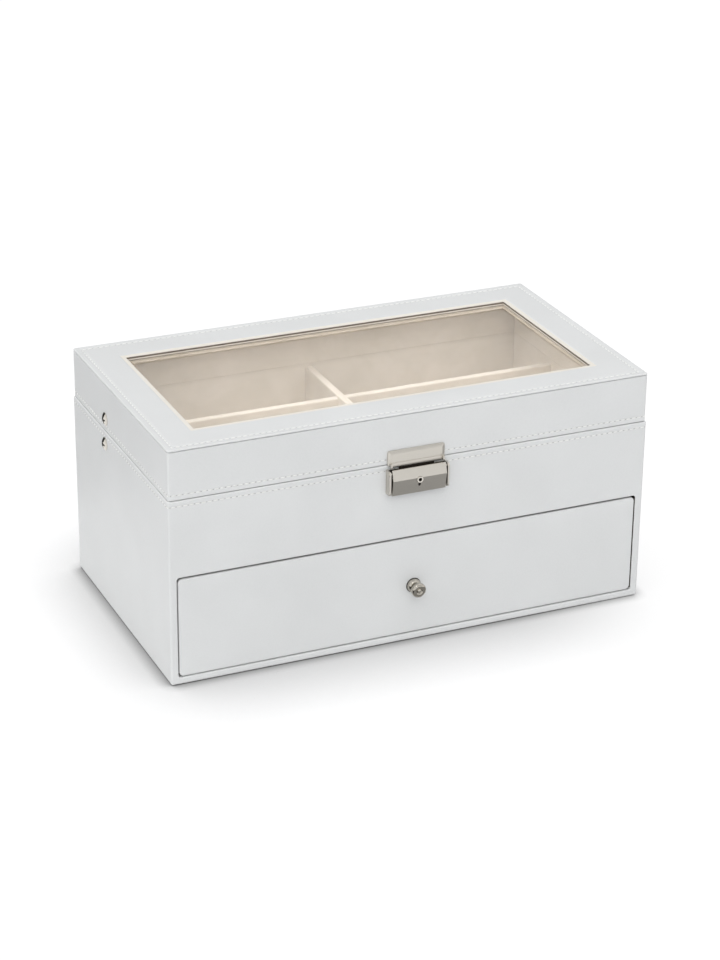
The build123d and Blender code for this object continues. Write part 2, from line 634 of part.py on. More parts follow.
def lower_link():
    """From the base post to the elbow, with a tail and lug that stop the elbow when the lid is open."""
    post_z = AXIS_Z - STAY_RISE
    link = link_plate(STAY_Y, post_z, ELBOW_Y, AXIS_Z, LOWER_LINK_X, STAY_WIDTH)
    upper_at_limit = STAY_SLOPE + LID_OPEN_DEGREES
    off_line = STAY_WIDTH / 2 + STOP_CLEAR + STOP_R
    lug_turn = radians(upper_at_limit) + atan2(off_line, (STOP_REACH ** 2 - off_line ** 2) ** 0.5)
    lug_y, lug_z = ELBOW_Y + STOP_REACH * cos(lug_turn), AXIS_Z + STOP_REACH * sin(lug_turn)
    link += link_plate(ELBOW_Y, AXIS_Z, lug_y, lug_z, LOWER_LINK_X, STOP_TAIL)
    link += rod_x(STOP_R, UPPER_LINK_X - STAY_THICK, LOWER_LINK_X, lug_y, lug_z)
    link -= rod_x(POST_R + POST_CLEAR, TRAY_X - 2 * BOARD, TRAY_X, STAY_Y, post_z)
    return link - rod_x(ELBOW_R + HINGE_PIN_SEAT, TRAY_X - 2 * BOARD, TRAY_X, ELBOW_Y, AXIS_Z)


def upper_link():
    """From the lid post to the elbow, with room round the elbow rivet."""
    post_z = AXIS_Z + STAY_RISE
    link = link_plate(STAY_Y, post_z, ELBOW_Y, AXIS_Z, UPPER_LINK_X, STAY_WIDTH)
    link -= rod_x(POST_R + POST_CLEAR, TRAY_X - 2 * BOARD, TRAY_X, STAY_Y, post_z)
    return link - rod_x(ELBOW_R + ELBOW_OPEN_CLEAR, TRAY_X - 2 * BOARD, TRAY_X, ELBOW_Y, AXIS_Z)


def elbow_rivet():
    inner = UPPER_LINK_X - STAY_THICK - STAY_LAYER_GAP
    rivet = rod_x(ELBOW_R, inner, LOWER_LINK_X, ELBOW_Y, AXIS_Z)
    return rivet + rod_x(ELBOW_HEAD_R, inner - ELBOW_HEAD, inner, ELBOW_Y, AXIS_Z)


# Lock

def lock_base_plate():
    """The channel on the base: a back plate with two ears folded forward to hold the pivot."""
    half = LOCK_WIDTH / 2
    plate = block(-half, half, FRONT - LOCK_PLATE, FRONT, SEAM - LOCK_FOOT, SEAM - LOCK_TOP)
    middle = Pos(PIVOT_Y, SEAM - (PIVOT_DOWN + EAR_FOOT) / 2) * Rot(0, 0, 90)
    outline = Plane.YZ * middle * SlotCenterToCenter(EAR_FOOT - PIVOT_DOWN, 2 * EAR_R)
    ear = Pos(half - EAR, 0, 0) * extrude(outline, EAR)
    ear_foot, ear_top = SEAM - EAR_FOOT - EAR_R, SEAM - PIVOT_DOWN + EAR_R
    ear += block(half - EAR, half, PIVOT_Y, FRONT, ear_foot, ear_top)
    plate = plate + ear + mirrored(ear)
    plate -= rod_x(PIVOT_R + HINGE_PIN_SEAT, -half - EAR, half + EAR, PIVOT_Y, PIVOT_Z)
    return cut_all(plate, rivet_holes(BASE_RIVET_X, SEAM - BASE_RIVET_DOWN))


def lock_pivot_pin():
    half = LOCK_WIDTH / 2
    pin = rod_x(PIVOT_R, -half, half, PIVOT_Y, PIVOT_Z)
    head = rod_x(PIVOT_HEAD_R, half, half + PIVOT_HEAD, PIVOT_Y, PIVOT_Z)
    return pin + head + mirrored(head)


def lock_lid_plate():
    """The bevelled plate on the lid, with a hooked lip and a barbed tongue that reach down behind the flap."""
    half = LID_PLATE_WIDTH / 2
    foot = LID_FOOT - LID_PLATE_DROP
    blank = block(-half, half, LID_FRONT - LID_PLATE, LID_FRONT, foot, LID_FOOT + LID_PLATE_TOP)
    face = blank.faces().sort_by(Axis.Y)[0]
    upper_edges = face.edges().filter_by(lambda edge: edge.center().Z > foot + SAME)
    bevelled = chamfer(upper_edges, LID_PLATE_BEVEL, LID_PLATE_BEVEL_DEPTH, reference=face)
    plate = bevelled & fillet(edges_along(blank, Axis.Y).group_by(Axis.Z)[-1], LID_PLATE_CORNER)
    front = TONGUE_Y - TONGUE
    join = foot + LID_PLATE
    lip = block(-LIP_WIDTH / 2, LIP_WIDTH / 2, front, TONGUE_Y, SEAM - LIP_DOWN, join)
    hook = block(LIP_WIDTH / 2, LIP_WIDTH / 2 + HOOK, FRONT - HOOK_OUT, TONGUE_Y, SEAM - LIP_DOWN, join)
    hook = fillet(edges_along(hook, Axis.X).group_by(Axis.Y)[0], HOOK_R)
    prong, notch_x = PRONG_WIDTH / 2, NOTCH_WIDTH / 2
    tongue = block(-prong, prong, front, TONGUE_Y, TONGUE_FOOT, SEAM - LIP_DOWN)
    notch = block(-notch_x, notch_x, front, TONGUE_Y, TONGUE_FOOT, SEAM - NOTCH_TOP)
    barb = block(notch_x - BARB_REACH, notch_x, front, TONGUE_Y, TONGUE_FOOT, TONGUE_FOOT + BARB)
    return plate + lip + hook + mirrored(hook) + (tongue - notch) + barb + mirrored(barb)


def lock_flap():
    """The ridged flap: a folded sheet with a knuckle behind it, cheeks, a web and a keyhole."""
    half = FLAP_WIDTH / 2
    top_z, ridge_z, foot_z = SEAM - FLAP_TOP, SEAM - RIDGE_DOWN, SEAM - LOCK_FOOT
    knuckle_out = PIVOT_OUT + KNUCKLE_R
    outer = [(FRONT - FLAP_TOP_OUT, top_z), (FRONT - RIDGE_OUT, ridge_z), (FRONT - FLAP_FOOT_OUT, foot_z)]
    inner = [(y + FLAP_SHEET, z) for y, z in reversed(outer)]
    flap = prism_x(outer + inner, -half, half)
    flap += rod_x(KNUCKLE_R, -half, half, PIVOT_Y, PIVOT_Z)
    cheek_front = FLAP_SHEET / 2
    cheek = [(FRONT - knuckle_out + cheek_front, SEAM - CHEEK_TOP), (FRONT - RIDGE_OUT + cheek_front, ridge_z),
             (FRONT - FLAP_FOOT_OUT + cheek_front, foot_z), (FRONT - CHEEK_BACK - CHEEK_STEP, foot_z),
             (FRONT - CHEEK_BACK, foot_z + CHEEK_STEP), (FRONT - CHEEK_BACK, SEAM - CHEEK_TOP - CHEEK_STEP)]
    side = prism_x(cheek, half - FLAP_SHEET, half)
    clear_front = FRONT - 2 * RIDGE_OUT
    web = block(-half, half, WEB_FRONT, FRONT - WEB_OUT, SEAM - WEB_FOOT, SEAM - WEB_TOP)
    flap = flap + side + mirrored(side) + web
    flap -= rod_x(PIVOT_R + PIVOT_RUNNING, -half - SKIN, half + SKIN, PIVOT_Y, PIVOT_Z)
    flap -= rod_y(BARREL_R + BARREL_RUNNING, clear_front, WEB_FRONT, 0, BARREL_Z)
    flap -= rod_y(BARREL_STEM_R + BARREL_RUNNING, FRONT - RIDGE_OUT, FRONT, 0, BARREL_Z)
    slot_x, slot_foot = KEY_SLOT / 2, BARREL_Z - KEY_SLOT_DOWN
    return flap - block(-slot_x, slot_x, clear_front, WEB_FRONT, slot_foot, BARREL_Z)


def lock_barrel():
    """The hollow key post with its flange, stem and the cam that catches the lid's barbs."""
    face = FRONT - RIDGE_OUT - BARREL_PROUD
    seat = WEB_FRONT - BARREL_RUNNING
    cam_back = FRONT - LOCK_PLATE - CAM_GAP
    cam_x = CAM_WIDTH / 2
    barrel = rod_y(BARREL_R, face, seat, 0, BARREL_Z)
    barrel += rod_y(BARREL_FLANGE_R, WEB_FRONT - BARREL_FLANGE, seat, 0, BARREL_Z)
    barrel += rod_y(BARREL_STEM_R, seat, cam_back, 0, BARREL_Z)
    barrel += block(-cam_x, cam_x, cam_back - TONGUE, cam_back, BARREL_Z, BARREL_Z + CAM_REACH)
    return barrel - rod_y(BARREL_BORE_R, face - SKIN, face + BARREL_BORE, 0, BARREL_Z)


def whole_box():
    """Every piece of the box by its node's name."""
    parts = {"base_leather_skin": base_skin(), "base_felt": base_felt()}
    parts.update(base_boards())
    parts.update(tray_linings())
    parts.update(tray_dividers())
    parts["lid_leather_skin"] = lid_skin()
    parts.update(lid_boards())
    parts.update(lid_linings())
    parts["lid_top_frame"] = lid_top_frame()
    parts["glass_pane"] = glass_pane()
    parts["glass_retainer"] = glass_retainer()
    parts["drawer_front"] = drawer_front()
    parts.update(drawer_box())
    parts["drawer_knob"] = drawer_knob()
    parts["knob_screw"] = knob_screw()
    parts.update(hinge_leaves())
    parts["hinge_pins"] = hinge_pins()
    parts["hinge_base_screws"] = hinge_screws(AXIS_Z - LEAF_GAP, -1)
    parts["hinge_lid_screws"] = hinge_screws(AXIS_Z + LEAF_GAP, 1)
    parts["stay_base_post"] = mirrored(stay_post(AXIS_Z - STAY_RISE, SIDE, LOWER_LINK_X, False))
    parts["stay_lid_post"] = mirrored(stay_post(AXIS_Z + STAY_RISE, LID_SIDE, UPPER_LINK_X, True))
    parts["stay_lower_link"] = mirrored(lower_link())
    parts["stay_upper_link"] = mirrored(upper_link())
    parts["stay_elbow_rivet"] = mirrored(elbow_rivet())
    parts["lock_base_plate"] = lock_base_plate()
    parts["lock_pivot_pin"] = lock_pivot_pin()
    parts["lock_lid_plate"] = lock_lid_plate()
    parts["lock_flap"] = lock_flap()
    parts["lock_barrel"] = lock_barrel()
    rivet_z = SEAM - BASE_RIVET_DOWN
    parts["lock_base_rivets"] = rivets(BASE_RIVET_X, rivet_z, FRONT - LOCK_PLATE, True)
    parts["lock_lid_rivets"] = rivets(LID_RIVET_X, LID_FOOT + LID_RIVET_UP, LID_FRONT, False)
    return parts


os.makedirs("parts", exist_ok=True)
for node, shape in whole_box().items():
    export_step(Pos(-ORIGIN_X, -ORIGIN_Y, 0) * shape, f"parts/{node}.step")
print("seam", SEAM, "origin y", round(ORIGIN_Y, 3), "stay link", round(STAY_LENGTH, 2))
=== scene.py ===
import math

import bmesh
import bpy
from mathutils import Matrix, Vector


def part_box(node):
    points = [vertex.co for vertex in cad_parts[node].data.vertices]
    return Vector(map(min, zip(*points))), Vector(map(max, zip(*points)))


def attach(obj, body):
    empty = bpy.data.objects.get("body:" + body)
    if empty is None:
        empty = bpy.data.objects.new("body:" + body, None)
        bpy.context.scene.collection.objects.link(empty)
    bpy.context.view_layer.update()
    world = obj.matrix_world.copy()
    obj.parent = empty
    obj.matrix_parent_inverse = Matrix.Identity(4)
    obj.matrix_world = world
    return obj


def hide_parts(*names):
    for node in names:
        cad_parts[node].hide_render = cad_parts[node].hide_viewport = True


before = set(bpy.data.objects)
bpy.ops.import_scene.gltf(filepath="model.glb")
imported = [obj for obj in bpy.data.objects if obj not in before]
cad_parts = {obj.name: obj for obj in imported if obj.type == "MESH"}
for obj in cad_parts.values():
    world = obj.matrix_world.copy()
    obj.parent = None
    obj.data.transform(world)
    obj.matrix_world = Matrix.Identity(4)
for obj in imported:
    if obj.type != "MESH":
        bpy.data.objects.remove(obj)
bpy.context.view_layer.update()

MM = 0.001

bl_info = {
    "name": "Eyeglasses storage box",
    "version": (1, 0, 0),
    "blender": (4, 5, 0),
    "location": "3D View > Sidebar > Storage box",
    "description": "Dresses the storage box: leather, stitching, suede, glass, nickel and the studio",
    "category": "Object",
}

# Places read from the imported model, in metres
BASE_LOW, BASE_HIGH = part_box("base_leather_skin")
LID_LOW, LID_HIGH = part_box("lid_leather_skin")
FRAME_LOW, FRAME_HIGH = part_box("lid_top_frame")
PANE_SIDE_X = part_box("glass_pane")[1].x
FRONT_LOW, FRONT_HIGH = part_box("drawer_front")
MIDDLE_X = (BASE_LOW.x + BASE_HIGH.x) / 2
OPENING_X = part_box("base_right_board")[0].x - MIDDLE_X
OPENING_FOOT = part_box("base_bottom_board")[1].z
OPENING_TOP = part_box("base_front_rail")[0].z

# Sizes that several pieces share: the leather's thickness, the hem that it makes over the boards' edges,
# the strip of glass that the frame covers, the radii of the corners, how many rolls wide a turned edge lies
# flat on the rim, how many times deeper than the walls' the frame's stitches sink, and how far the floor goes
SKIN = 0.98 * MM
HEM = 4.95 * MM
HEM_ROLL = 0.6 * MM
GLASS_LAP = 5 * MM
WALL_CORNER = 1.5 * MM
PANEL_CORNER = 2.9 * MM
LEAST_CORNER = 0.12 * MM
RIM_FLAT = 2.2
FRAME_SINK = 1.6
STITCH_SEED = 7
FLOOR_REACH = 12.0
# Where the photograph's camera stood, in metres, and its azimuth, elevation and roll in degrees
CAMERA_PLACE = (-0.6463, -1.46465, 0.8017)
CAMERA_TURN = (23.879, 24.381, 0.609)
# In degrees: up to which faces count as one flat face, past which an edge is eased, and past which it is sharp
FLAT, EASED, CREASED = 1.5, 19, 17


def linear(hex_colour):
    """An sRGB hex colour as linear red, green, blue and alpha."""
    channels = [int(hex_colour[at:at + 2], 16) / 255 for at in (1, 3, 5)]
    return [c / 12.92 if c <= 0.04045 else ((c + 0.055) / 1.055) ** 2.4 for c in channels] + [1.0]


def colour_setting(name, description, hex_colour):
    return bpy.props.FloatVectorProperty(name=name, description=description, subtype="COLOR", size=4,
                                         min=0.0, max=1.0, default=linear(hex_colour))


def size_setting(name, description, millimetres):
    return bpy.props.FloatProperty(name=name, description=description, unit="LENGTH", subtype="DISTANCE",
                                   precision=5, min=0.0, default=millimetres * MM)


def strength_setting(name, description, strength, **limits):
    return bpy.props.FloatProperty(name=name, description=description, min=0.0, default=strength, **limits)


class LeatherSettings(bpy.types.PropertyGroup):
    """Sizes and colours of the leather skins."""
    colour: colour_setting("Leather", "Colour of the white leather", "#DEDFDE")
    shade: colour_setting("Leather in its grain", "Colour in the valleys of the grain", "#D6D7D6")
    # The window edge's cream is partly its own colour and partly painted highlight, drawn lighter than the white
    # leather.
    window_edge: colour_setting("Window edge", "Colour of the turned edge round the glass", "#EBE7DE")
    pebble: size_setting("Pebble", "Width of one pebble of the embossed grain", 1.1)
    rim_roll: size_setting("Rim roll", "Radius of the turned edges along the seam", 0.8)
    rim_puff: size_setting("Rim puff", "How far the padding swells the turned edges towards the seam", 0.2)
    top_roll: size_setting("Top roll", "Radius of the rolled outer edge of the top frame", 0.8)
    frame_edge: size_setting("Frame edge", "Thickness of the top frame where it shows above the lid's wall", 1.6)
    groove_roll: size_setting("Groove roll", "Radius of the edges that meet in the groove under the frame", 0.35)
    groove_gap: size_setting("Groove gap", "Height of the dark groove under the top frame", 0.4)
    window_strip: size_setting("Window strip", "Width of the cream strip turned in round the glass", 2.8)
    opening_roll: size_setting("Opening roll", "Radius of the turned edge round the drawer opening", 0.9)
    channel_depth: size_setting("Channel depth", "How far the stitching pulls the leather in", 0.25)


class StitchSettings(bpy.types.PropertyGroup):
    """Sizes and colours of the stitching."""
    colour: colour_setting("Thread", "Colour of the polyester thread", "#F4F4F1")
    # The needle holes' colour is painted shade, a darker grey for the shadow inside each hole.
    hole_shade_colour: colour_setting("Needle holes", "Colour of the painted shade inside a needle hole", "#C6C6C3")
    pitch: size_setting("Pitch", "Distance from one stitch to the next", 3.95)
    length: size_setting("Stitch length", "Length of thread between two holes", 3.1)
    thread: size_setting("Thread thickness", "Thickness of the thread", 0.78)
    hole: size_setting("Needle hole", "Width of a needle hole", 1.1)
    base_row: size_setting("Base row", "Distance of the base's row below the seam", 3.4)
    lid_row: size_setting("Lid row", "Distance of the lid's row above the seam", 3.3)
    frame_row: size_setting("Frame row", "Distance of the frame's row from its outer edge", 4.6)


class LiningSettings(bpy.types.PropertyGroup):
    """Colours of the linings, boards and felt."""
    suede: colour_setting("Suede", "Colour of the brushed suede", "#F5ECE1")
    suede_shade: colour_setting("Suede shade", "Colour of the suede where the nap lies the other way", "#E8DFD1")
    nap: size_setting("Nap", "Width of one tuft of the suede as drawn", 0.5)
    board: colour_setting("Board", "Colour of the paper on the fibreboard", "#BFB6A8")
    felt: colour_setting("Felt", "Colour of the wool felt under the base", "#8B867E")


class MetalSettings(bpy.types.PropertyGroup):
    """Colours and brush lines of the nickel, and the tint of the glass."""
    nickel: colour_setting("Nickel", "Colour of the nickel plating", "#DAD6CE")
    brush_line: size_setting("Brush line", "Width of one brush line as drawn", 0.22)
    glass: colour_setting("Glass", "Tint of the window glass", "#FFFEFC")


class StudioSettings(bpy.types.PropertyGroup):
    """Lens, light and floor of the studio."""
    lens: bpy.props.FloatProperty(name="Lens", description="Focal length for a picture 36 mm high",
                                  unit="CAMERA", default=99.58)
    sky: strength_setting("Sky", "Strength of the soft light from all round", 0.38)
    key: strength_setting("Key light", "Strength of the broad light from above and the left", 2.05)
    front: strength_setting("Front light", "Strength of the soft light from the front", 0.62)
    back: strength_setting("Back light", "Strength of the soft light from behind", 0.35)
    spark: strength_setting("Spark", "Strength of the small lamp that glints on the metal", 0.15)
    floor_glow: strength_setting("Floor glow", "Share of the floor's white that a shadow keeps", 0.7, max=1.0)


SETTING_GROUPS = {"box_leather": LeatherSettings, "box_stitches": StitchSettings, "box_linings": LiningSettings,
                  "box_metal": MetalSettings, "box_studio": StudioSettings}


def add_node(tree, kind, settings=None, links=None):
    """Adds a node, sets its properties and inputs, and links inputs to sockets or to nodes' first outputs."""
    node = tree.nodes.new(kind)
    for key, value in (settings or {}).items():
        if isinstance(key, str) and hasattr(node, key):
            setattr(node, key, value)
        else:
            node.inputs[key].default_value = value
    for key, source in (links or {}).items():
        socket = source if isinstance(source, bpy.types.NodeSocket) else source.outputs[0]
        tree.links.new(socket, node.inputs[key])
    return node


def new_material(name):
    """An empty node material and its tree."""
    material = bpy.data.materials.new(name)
    material.use_nodes = True
    material.node_tree.nodes.clear()
    return material, material.node_tree


def per_metre(size):
    """The texture scale at which one cell of a pattern is as wide as size."""
    return 1.0 / size


def flecked(name, colours, grain, shader, relief=None, gloss=None, mapped=None, pattern="ShaderNodeTexNoise"):
    """A material whose two colours, relief and gloss follow one pattern on the piece.

    relief gives the bump's strength and depth, gloss the least and the greatest roughness.
    """
    material, tree = new_material(name)
    place = add_node(tree, "ShaderNodeTexCoord").outputs["Object"]
    if mapped:
        place = add_node(tree, "ShaderNodeMapping", mapped, {"Vector": place})
    fleck = add_node(tree, pattern, grain, {"Vector": place}).outputs["Fac"]
    first, second = [linear(colour) if isinstance(colour, str) else colour for colour in colours]
    tone = add_node(tree, "ShaderNodeMix", {"data_type": "RGBA", 6: first, 7: second}, {0: fleck})
    links = {"Base Color": tone.outputs[2]}
    if gloss:
        links["Roughness"] = add_node(tree, "ShaderNodeMapRange", {"To Min": gloss[0], "To Max": gloss[1]},
                                      {"Value": fleck})
    if relief:
        links["Normal"] = add_node(tree, "ShaderNodeBump", {"Strength": relief[0], "Distance": relief[1]},
                                   {"Height": fleck})
    surface = add_node(tree, "ShaderNodeBsdfPrincipled", shader, links)
    add_node(tree, "ShaderNodeOutputMaterial", links={"Surface": surface})
    return material


def pu_leather(name, colour, shade, pebble):
    # Polyurethane leather with an embossed pebble: white, satin, with a broad soft highlight that the
    # grain breaks up. The real pebble is near half a millimetre and is drawn coarser, so that it shows.
    material, tree = new_material(name)
    place = add_node(tree, "ShaderNodeTexCoord").outputs["Object"]
    pebbles = add_node(tree, "ShaderNodeTexVoronoi",
                       {"feature": "SMOOTH_F1", "Scale": per_metre(pebble), "Smoothness": 0.6}, {"Vector": place})
    pores, swell = [add_node(tree, "ShaderNodeTexNoise", noise, {"Vector": place}) for noise in (
        {"Scale": per_metre(0.45 * MM), "Detail": 3.0}, {"Scale": per_metre(48 * MM), "Detail": 2.0})]
    patches = add_node(tree, "ShaderNodeMapRange", {"From Min": 0.3, "From Max": 0.7, "To Max": 0.5},
                       {"Value": swell})
    valleys = add_node(tree, "ShaderNodeMath", {"operation": "MULTIPLY_ADD", 1: 0.35, "use_clamp": True},
                       {0: pebbles, 2: patches})
    tone = add_node(tree, "ShaderNodeMix", {"data_type": "RGBA", 6: colour, 7: shade}, {0: valleys})
    gloss = add_node(tree, "ShaderNodeMapRange", {"To Min": 0.42, "To Max": 0.56}, {"Value": pores})
    soft = add_node(tree, "ShaderNodeBump", {"Strength": 0.35, "Distance": 0.5 * MM}, {"Height": swell})
    grain = add_node(tree, "ShaderNodeBump", {"Strength": 0.35, "Distance": 0.09 * MM, "invert": True},
                     {"Height": pebbles, "Normal": soft})
    fine = add_node(tree, "ShaderNodeBump", {"Strength": 0.25, "Distance": 0.04 * MM},
                    {"Height": pores, "Normal": grain})
    skin = add_node(tree, "ShaderNodeBsdfPrincipled", {"IOR": 1.5, "Specular IOR Level": 0.42},
                    {"Base Color": tone.outputs[2], "Roughness": gloss, "Normal": fine})
    add_node(tree, "ShaderNodeOutputMaterial", links={"Surface": skin})
    return material


def polyester_thread(settings):
    # Bonded polyester thread, twisted: slightly shiny, with slanting plies.
    return flecked("Bonded polyester thread, twisted", (settings.colour, "#E8E8E4"),
                   {"Scale": per_metre(2.4 * MM), "Distortion": 0.6},
                   {"Roughness": 0.5, "Sheen Weight": 0.2, "IOR": 1.5}, relief=(0.6, 0.06 * MM),
                   mapped={"Rotation": (0.6, 0.6, 0.6)}, pattern="ShaderNodeTexWave")


def needle_hole_painted_shade(settings):
    # Painted shade for the needle holes: small flattened beads of darker grey, flecked like rough fibre, that
    # stand for the shadow inside each hole.
    return flecked("Painted shade in needle holes", (settings.hole_shade_colour, "#BAB9B6"),
                   {"Scale": per_metre(0.3 * MM)}, {"Roughness": 0.9, "IOR": 1.5})


def brushed_suede(settings):
    # Microfibre suede glued to board: matt, with a short nap that lies in patches and a faint velvet rim.
    # The real tufts are finer than a tenth of a millimetre and are drawn coarser, so that they show.
    material, tree = new_material("Microfibre suede, brushed")
    place = add_node(tree, "ShaderNodeTexCoord").outputs["Object"]
    tufts, mottle, strokes = [add_node(tree, "ShaderNodeTexNoise", noise, {"Vector": place}) for noise in (
        {"Scale": per_metre(settings.nap), "Detail": 4.0, "Roughness": 0.65},
        {"Scale": per_metre(9 * MM), "Detail": 3.0, "Distortion": 0.8},
        {"Scale": per_metre(42 * MM), "Detail": 1.5, "Distortion": 1.2})]
    lie = add_node(tree, "ShaderNodeMath", {"operation": "MULTIPLY_ADD", 1: 0.45}, {0: mottle, 2: strokes})
    nap = add_node(tree, "ShaderNodeMath", {"operation": "MULTIPLY_ADD", 1: 0.35}, {0: tufts, 2: lie})
    share = add_node(tree, "ShaderNodeMapRange", {"From Min": 0.65, "From Max": 1.15}, {"Value": nap})
    tone = add_node(tree, "ShaderNodeMix", {"data_type": "RGBA", 6: settings.suede, 7: settings.suede_shade},
                    {0: share})
    fuzz = add_node(tree, "ShaderNodeBump", {"Strength": 0.6, "Distance": 0.12 * MM}, {"Height": tufts})
    suede = add_node(tree, "ShaderNodeBsdfPrincipled",
                     {"Roughness": 0.95, "Sheen Weight": 0.35, "Sheen Roughness": 0.45, "Specular IOR Level": 0.2},
                     {"Base Color": tone.outputs[2], "Normal": fuzz})
    add_node(tree, "ShaderNodeOutputMaterial", links={"Surface": suede})
    return material


def papered_fibreboard(name, colour, fleck):
    # Medium density fibreboard faced with liner paper: flat, matt, flecked with short fibres.
    return flecked(name, (colour, fleck), {"Scale": per_metre(1.6 * MM), "Detail": 5.0, "Roughness": 0.7},
                   {"Roughness": 0.85, "Specular IOR Level": 0.3}, relief=(0.3, 0.06 * MM))


def wool_felt(settings):
    # Pressed wool felt: matt, flecked, with a soft uneven surface.
    return flecked("Pressed wool felt", (settings.felt, "#6F6B64"),
                   {"Scale": per_metre(0.8 * MM), "Detail": 5.0, "Distortion": 1.5},
                   {"Roughness": 1.0, "Sheen Weight": 0.4, "Specular IOR Level": 0.1}, relief=(0.7, 0.2 * MM))


def reveal_painted_shade():
    # Painted shade on the narrow wall that drops from the cream strip to the glass: a dark, matt, grey brown band,
    # slightly uneven, for the shadow there.
    return flecked("Window reveal, painted shade", ("#6E6358", "#857A6D"),
                   {"Scale": per_metre(1.5 * MM), "Detail": 3.0}, {"Roughness": 0.8, "Specular IOR Level": 0.3})


def painted_shade_black():
    # Painted shade: dull, nearly black steel with a faint brown bloom, on the lock's inner and recessed faces and
    # on the ring under the knob, where shadow falls.
    return flecked("Painted shade, dark steel", ("#26221E", "#40382F"), {"Scale": per_metre(1.2 * MM), "Detail": 4.0},
                   {"Metallic": 0.6}, gloss=(0.45, 0.7))


def float_glass(settings):
    # Float glass with a polished face: clear and nearly colourless, with a sharp faint reflection.
    # Lamp rays pass straight through it, as they do through a thin flat pane.
    material, tree = new_material("Float glass, polished")
    pane = add_node(tree, "ShaderNodeBsdfPrincipled",
                    {"Base Color": settings.glass, "Roughness": 0.0, "IOR": 1.45, "Transmission Weight": 1.0})
    clear = add_node(tree, "ShaderNodeBsdfTransparent")
    shaded = add_node(tree, "ShaderNodeLightPath").outputs["Is Shadow Ray"]
    seen = add_node(tree, "ShaderNodeMixShader", links={0: shaded, 1: pane, 2: clear})
    add_node(tree, "ShaderNodeOutputMaterial", links={"Surface": seen})
    return material


def brushed_nickel(settings):
    # Zinc alloy plated with nickel and brushed along X: warm grey, with fine lines that draw the light out.
    # Real lines are a few hundredths of a millimetre apart and are drawn coarser, so that they show.
    return flecked("Nickel plate, brushed", ("#CDC8BF", settings.nickel),
                   {"Scale": per_metre(settings.brush_line), "Detail": 3.0, "Roughness": 0.7},
                   {"Metallic": 1.0, "Anisotropic": 0.4}, relief=(0.35, 0.03 * MM), gloss=(0.22, 0.42),
                   mapped={"Scale": (0.02, 1.0, 1.0)})


def polished_nickel(name, settings, gloss, deep="#CFCAC1"):
    # Turned brass plated with bright nickel: mirror-like, with faint wear that dulls it in places.
    return flecked(name, (deep, settings.nickel), {"Scale": per_metre(2.5 * MM), "Detail": 6.0, "Roughness": 0.7},
                   {"Metallic": 1.0}, relief=(0.15, 0.02 * MM), gloss=gloss)


def arc(across, up, radius, start, turn, steps=5):
    """Points of an arc round a centre, from start degrees through turn degrees."""
    angles = [math.radians(start + turn * n / steps) for n in range(steps + 1)]
    return [(across + radius * math.cos(a), up + radius * math.sin(a)) for a in angles]


def channel(middle, depth, width=1.8 * MM):
    """The dip that a row of stitches pulls into a flat face, as (place along, depth) pairs."""
    shape = ((-0.5, 0.0), (-0.25, 0.6), (0.0, 1.0), (0.25, 0.6), (0.5, 0.0))
    return [(middle + along * width, depth * share) for along, share in shape]


def rounded_rectangle(low, high, radius, steps):
    """Points of a rectangle with round corners, anticlockwise from the lower left one."""
    (x0, y0), (x1, y1) = [value + radius for value in low], [value - radius for value in high]
    points = []
    for cx, cy, start in ((x0, y0, 180), (x1, y0, 270), (x1, y1, 0), (x0, y1, 90)):
        points += arc(cx, cy, radius, start, 90, steps)
    return points


def rounded_loop(low, high, out, corner):
    """A rounded rectangle in plan that stands out from the walls low and high."""
    return rounded_rectangle((low.x - out, low.y - out), (high.x + out, high.y + out),
                             max(corner + out, LEAST_CORNER), 6)


def opening_loop(bm, half_x, foot, top, y, corner, steps=5):
    """A rounded rectangle standing in the front plane, half_x to each side of the box's middle."""
    points = rounded_rectangle((MIDDLE_X - half_x, foot), (MIDDLE_X + half_x, top),
                               max(corner, LEAST_CORNER), steps)
    return [bm.verts.new((x, y, z)) for x, z in points]


def join_loops(bm, loops):
    """Skins each loop to the next one, and gives the faces back band by band."""
    bands = []
    for lower, upper in zip(loops, loops[1:]):
        count = len(lower)
        bands.append([bm.faces.new((lower[k], lower[(k + 1) % count], upper[(k + 1) % count], upper[k]))
                      for k in range(count)])
    return bands


def sweep_round(bm, profile, low, high, corner):
    """A closed ring: every (out, height) point of the profile goes round the four walls."""
    loops = [[bm.verts.new((x, y, height)) for x, y in rounded_loop(low, high, out, corner)]
             for out, height in profile]
    return join_loops(bm, loops + loops[:1])


def new_object(name, data):
    """An object in the scene that carries a mesh, a lamp or a camera."""
    made = bpy.data.objects.new(name, data)
    bpy.context.scene.collection.objects.link(made)
    return made


def piece_object(bm, name, materials, body, replaced=(), crease=50):
    """Closes a mesh, turns its faces outwards, smooths its rolled edges and puts it on its body."""
    bmesh.ops.remove_doubles(bm, verts=bm.verts, dist=0.001 * MM)
    bmesh.ops.recalc_face_normals(bm, faces=bm.faces)
    loose = [edge for edge in bm.edges if len(edge.link_faces) != 2]
    if loose:
        raise RuntimeError(f"{name} has {len(loose)} open edges")
    mesh = bpy.data.meshes.new(name)
    bm.to_mesh(mesh)
    bm.free()
    mesh.shade_smooth()
    mesh.set_sharp_from_angle(angle=math.radians(crease))
    for material in materials:
        mesh.materials.append(material)
    piece = new_object(name, mesh)
    piece.modifiers.new("Flat faces stay flat", "WEIGHTED_NORMAL").keep_sharp = True
    if replaced:
        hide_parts(*replaced)
    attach(piece, body)
    return piece


def cover_nodes(material, names):
    """Gives CAD nodes a finish through their own material slots."""
    for name in names:
        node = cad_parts[name]
        if not node.material_slots:
            raise RuntimeError(f"{name} has no material slot")
        for material_slot in node.material_slots:
            material_slot.material = material


def material_once(name, make):
    """The named material, made the first time that it is asked for."""
    return bpy.data.materials.get(name) or make()


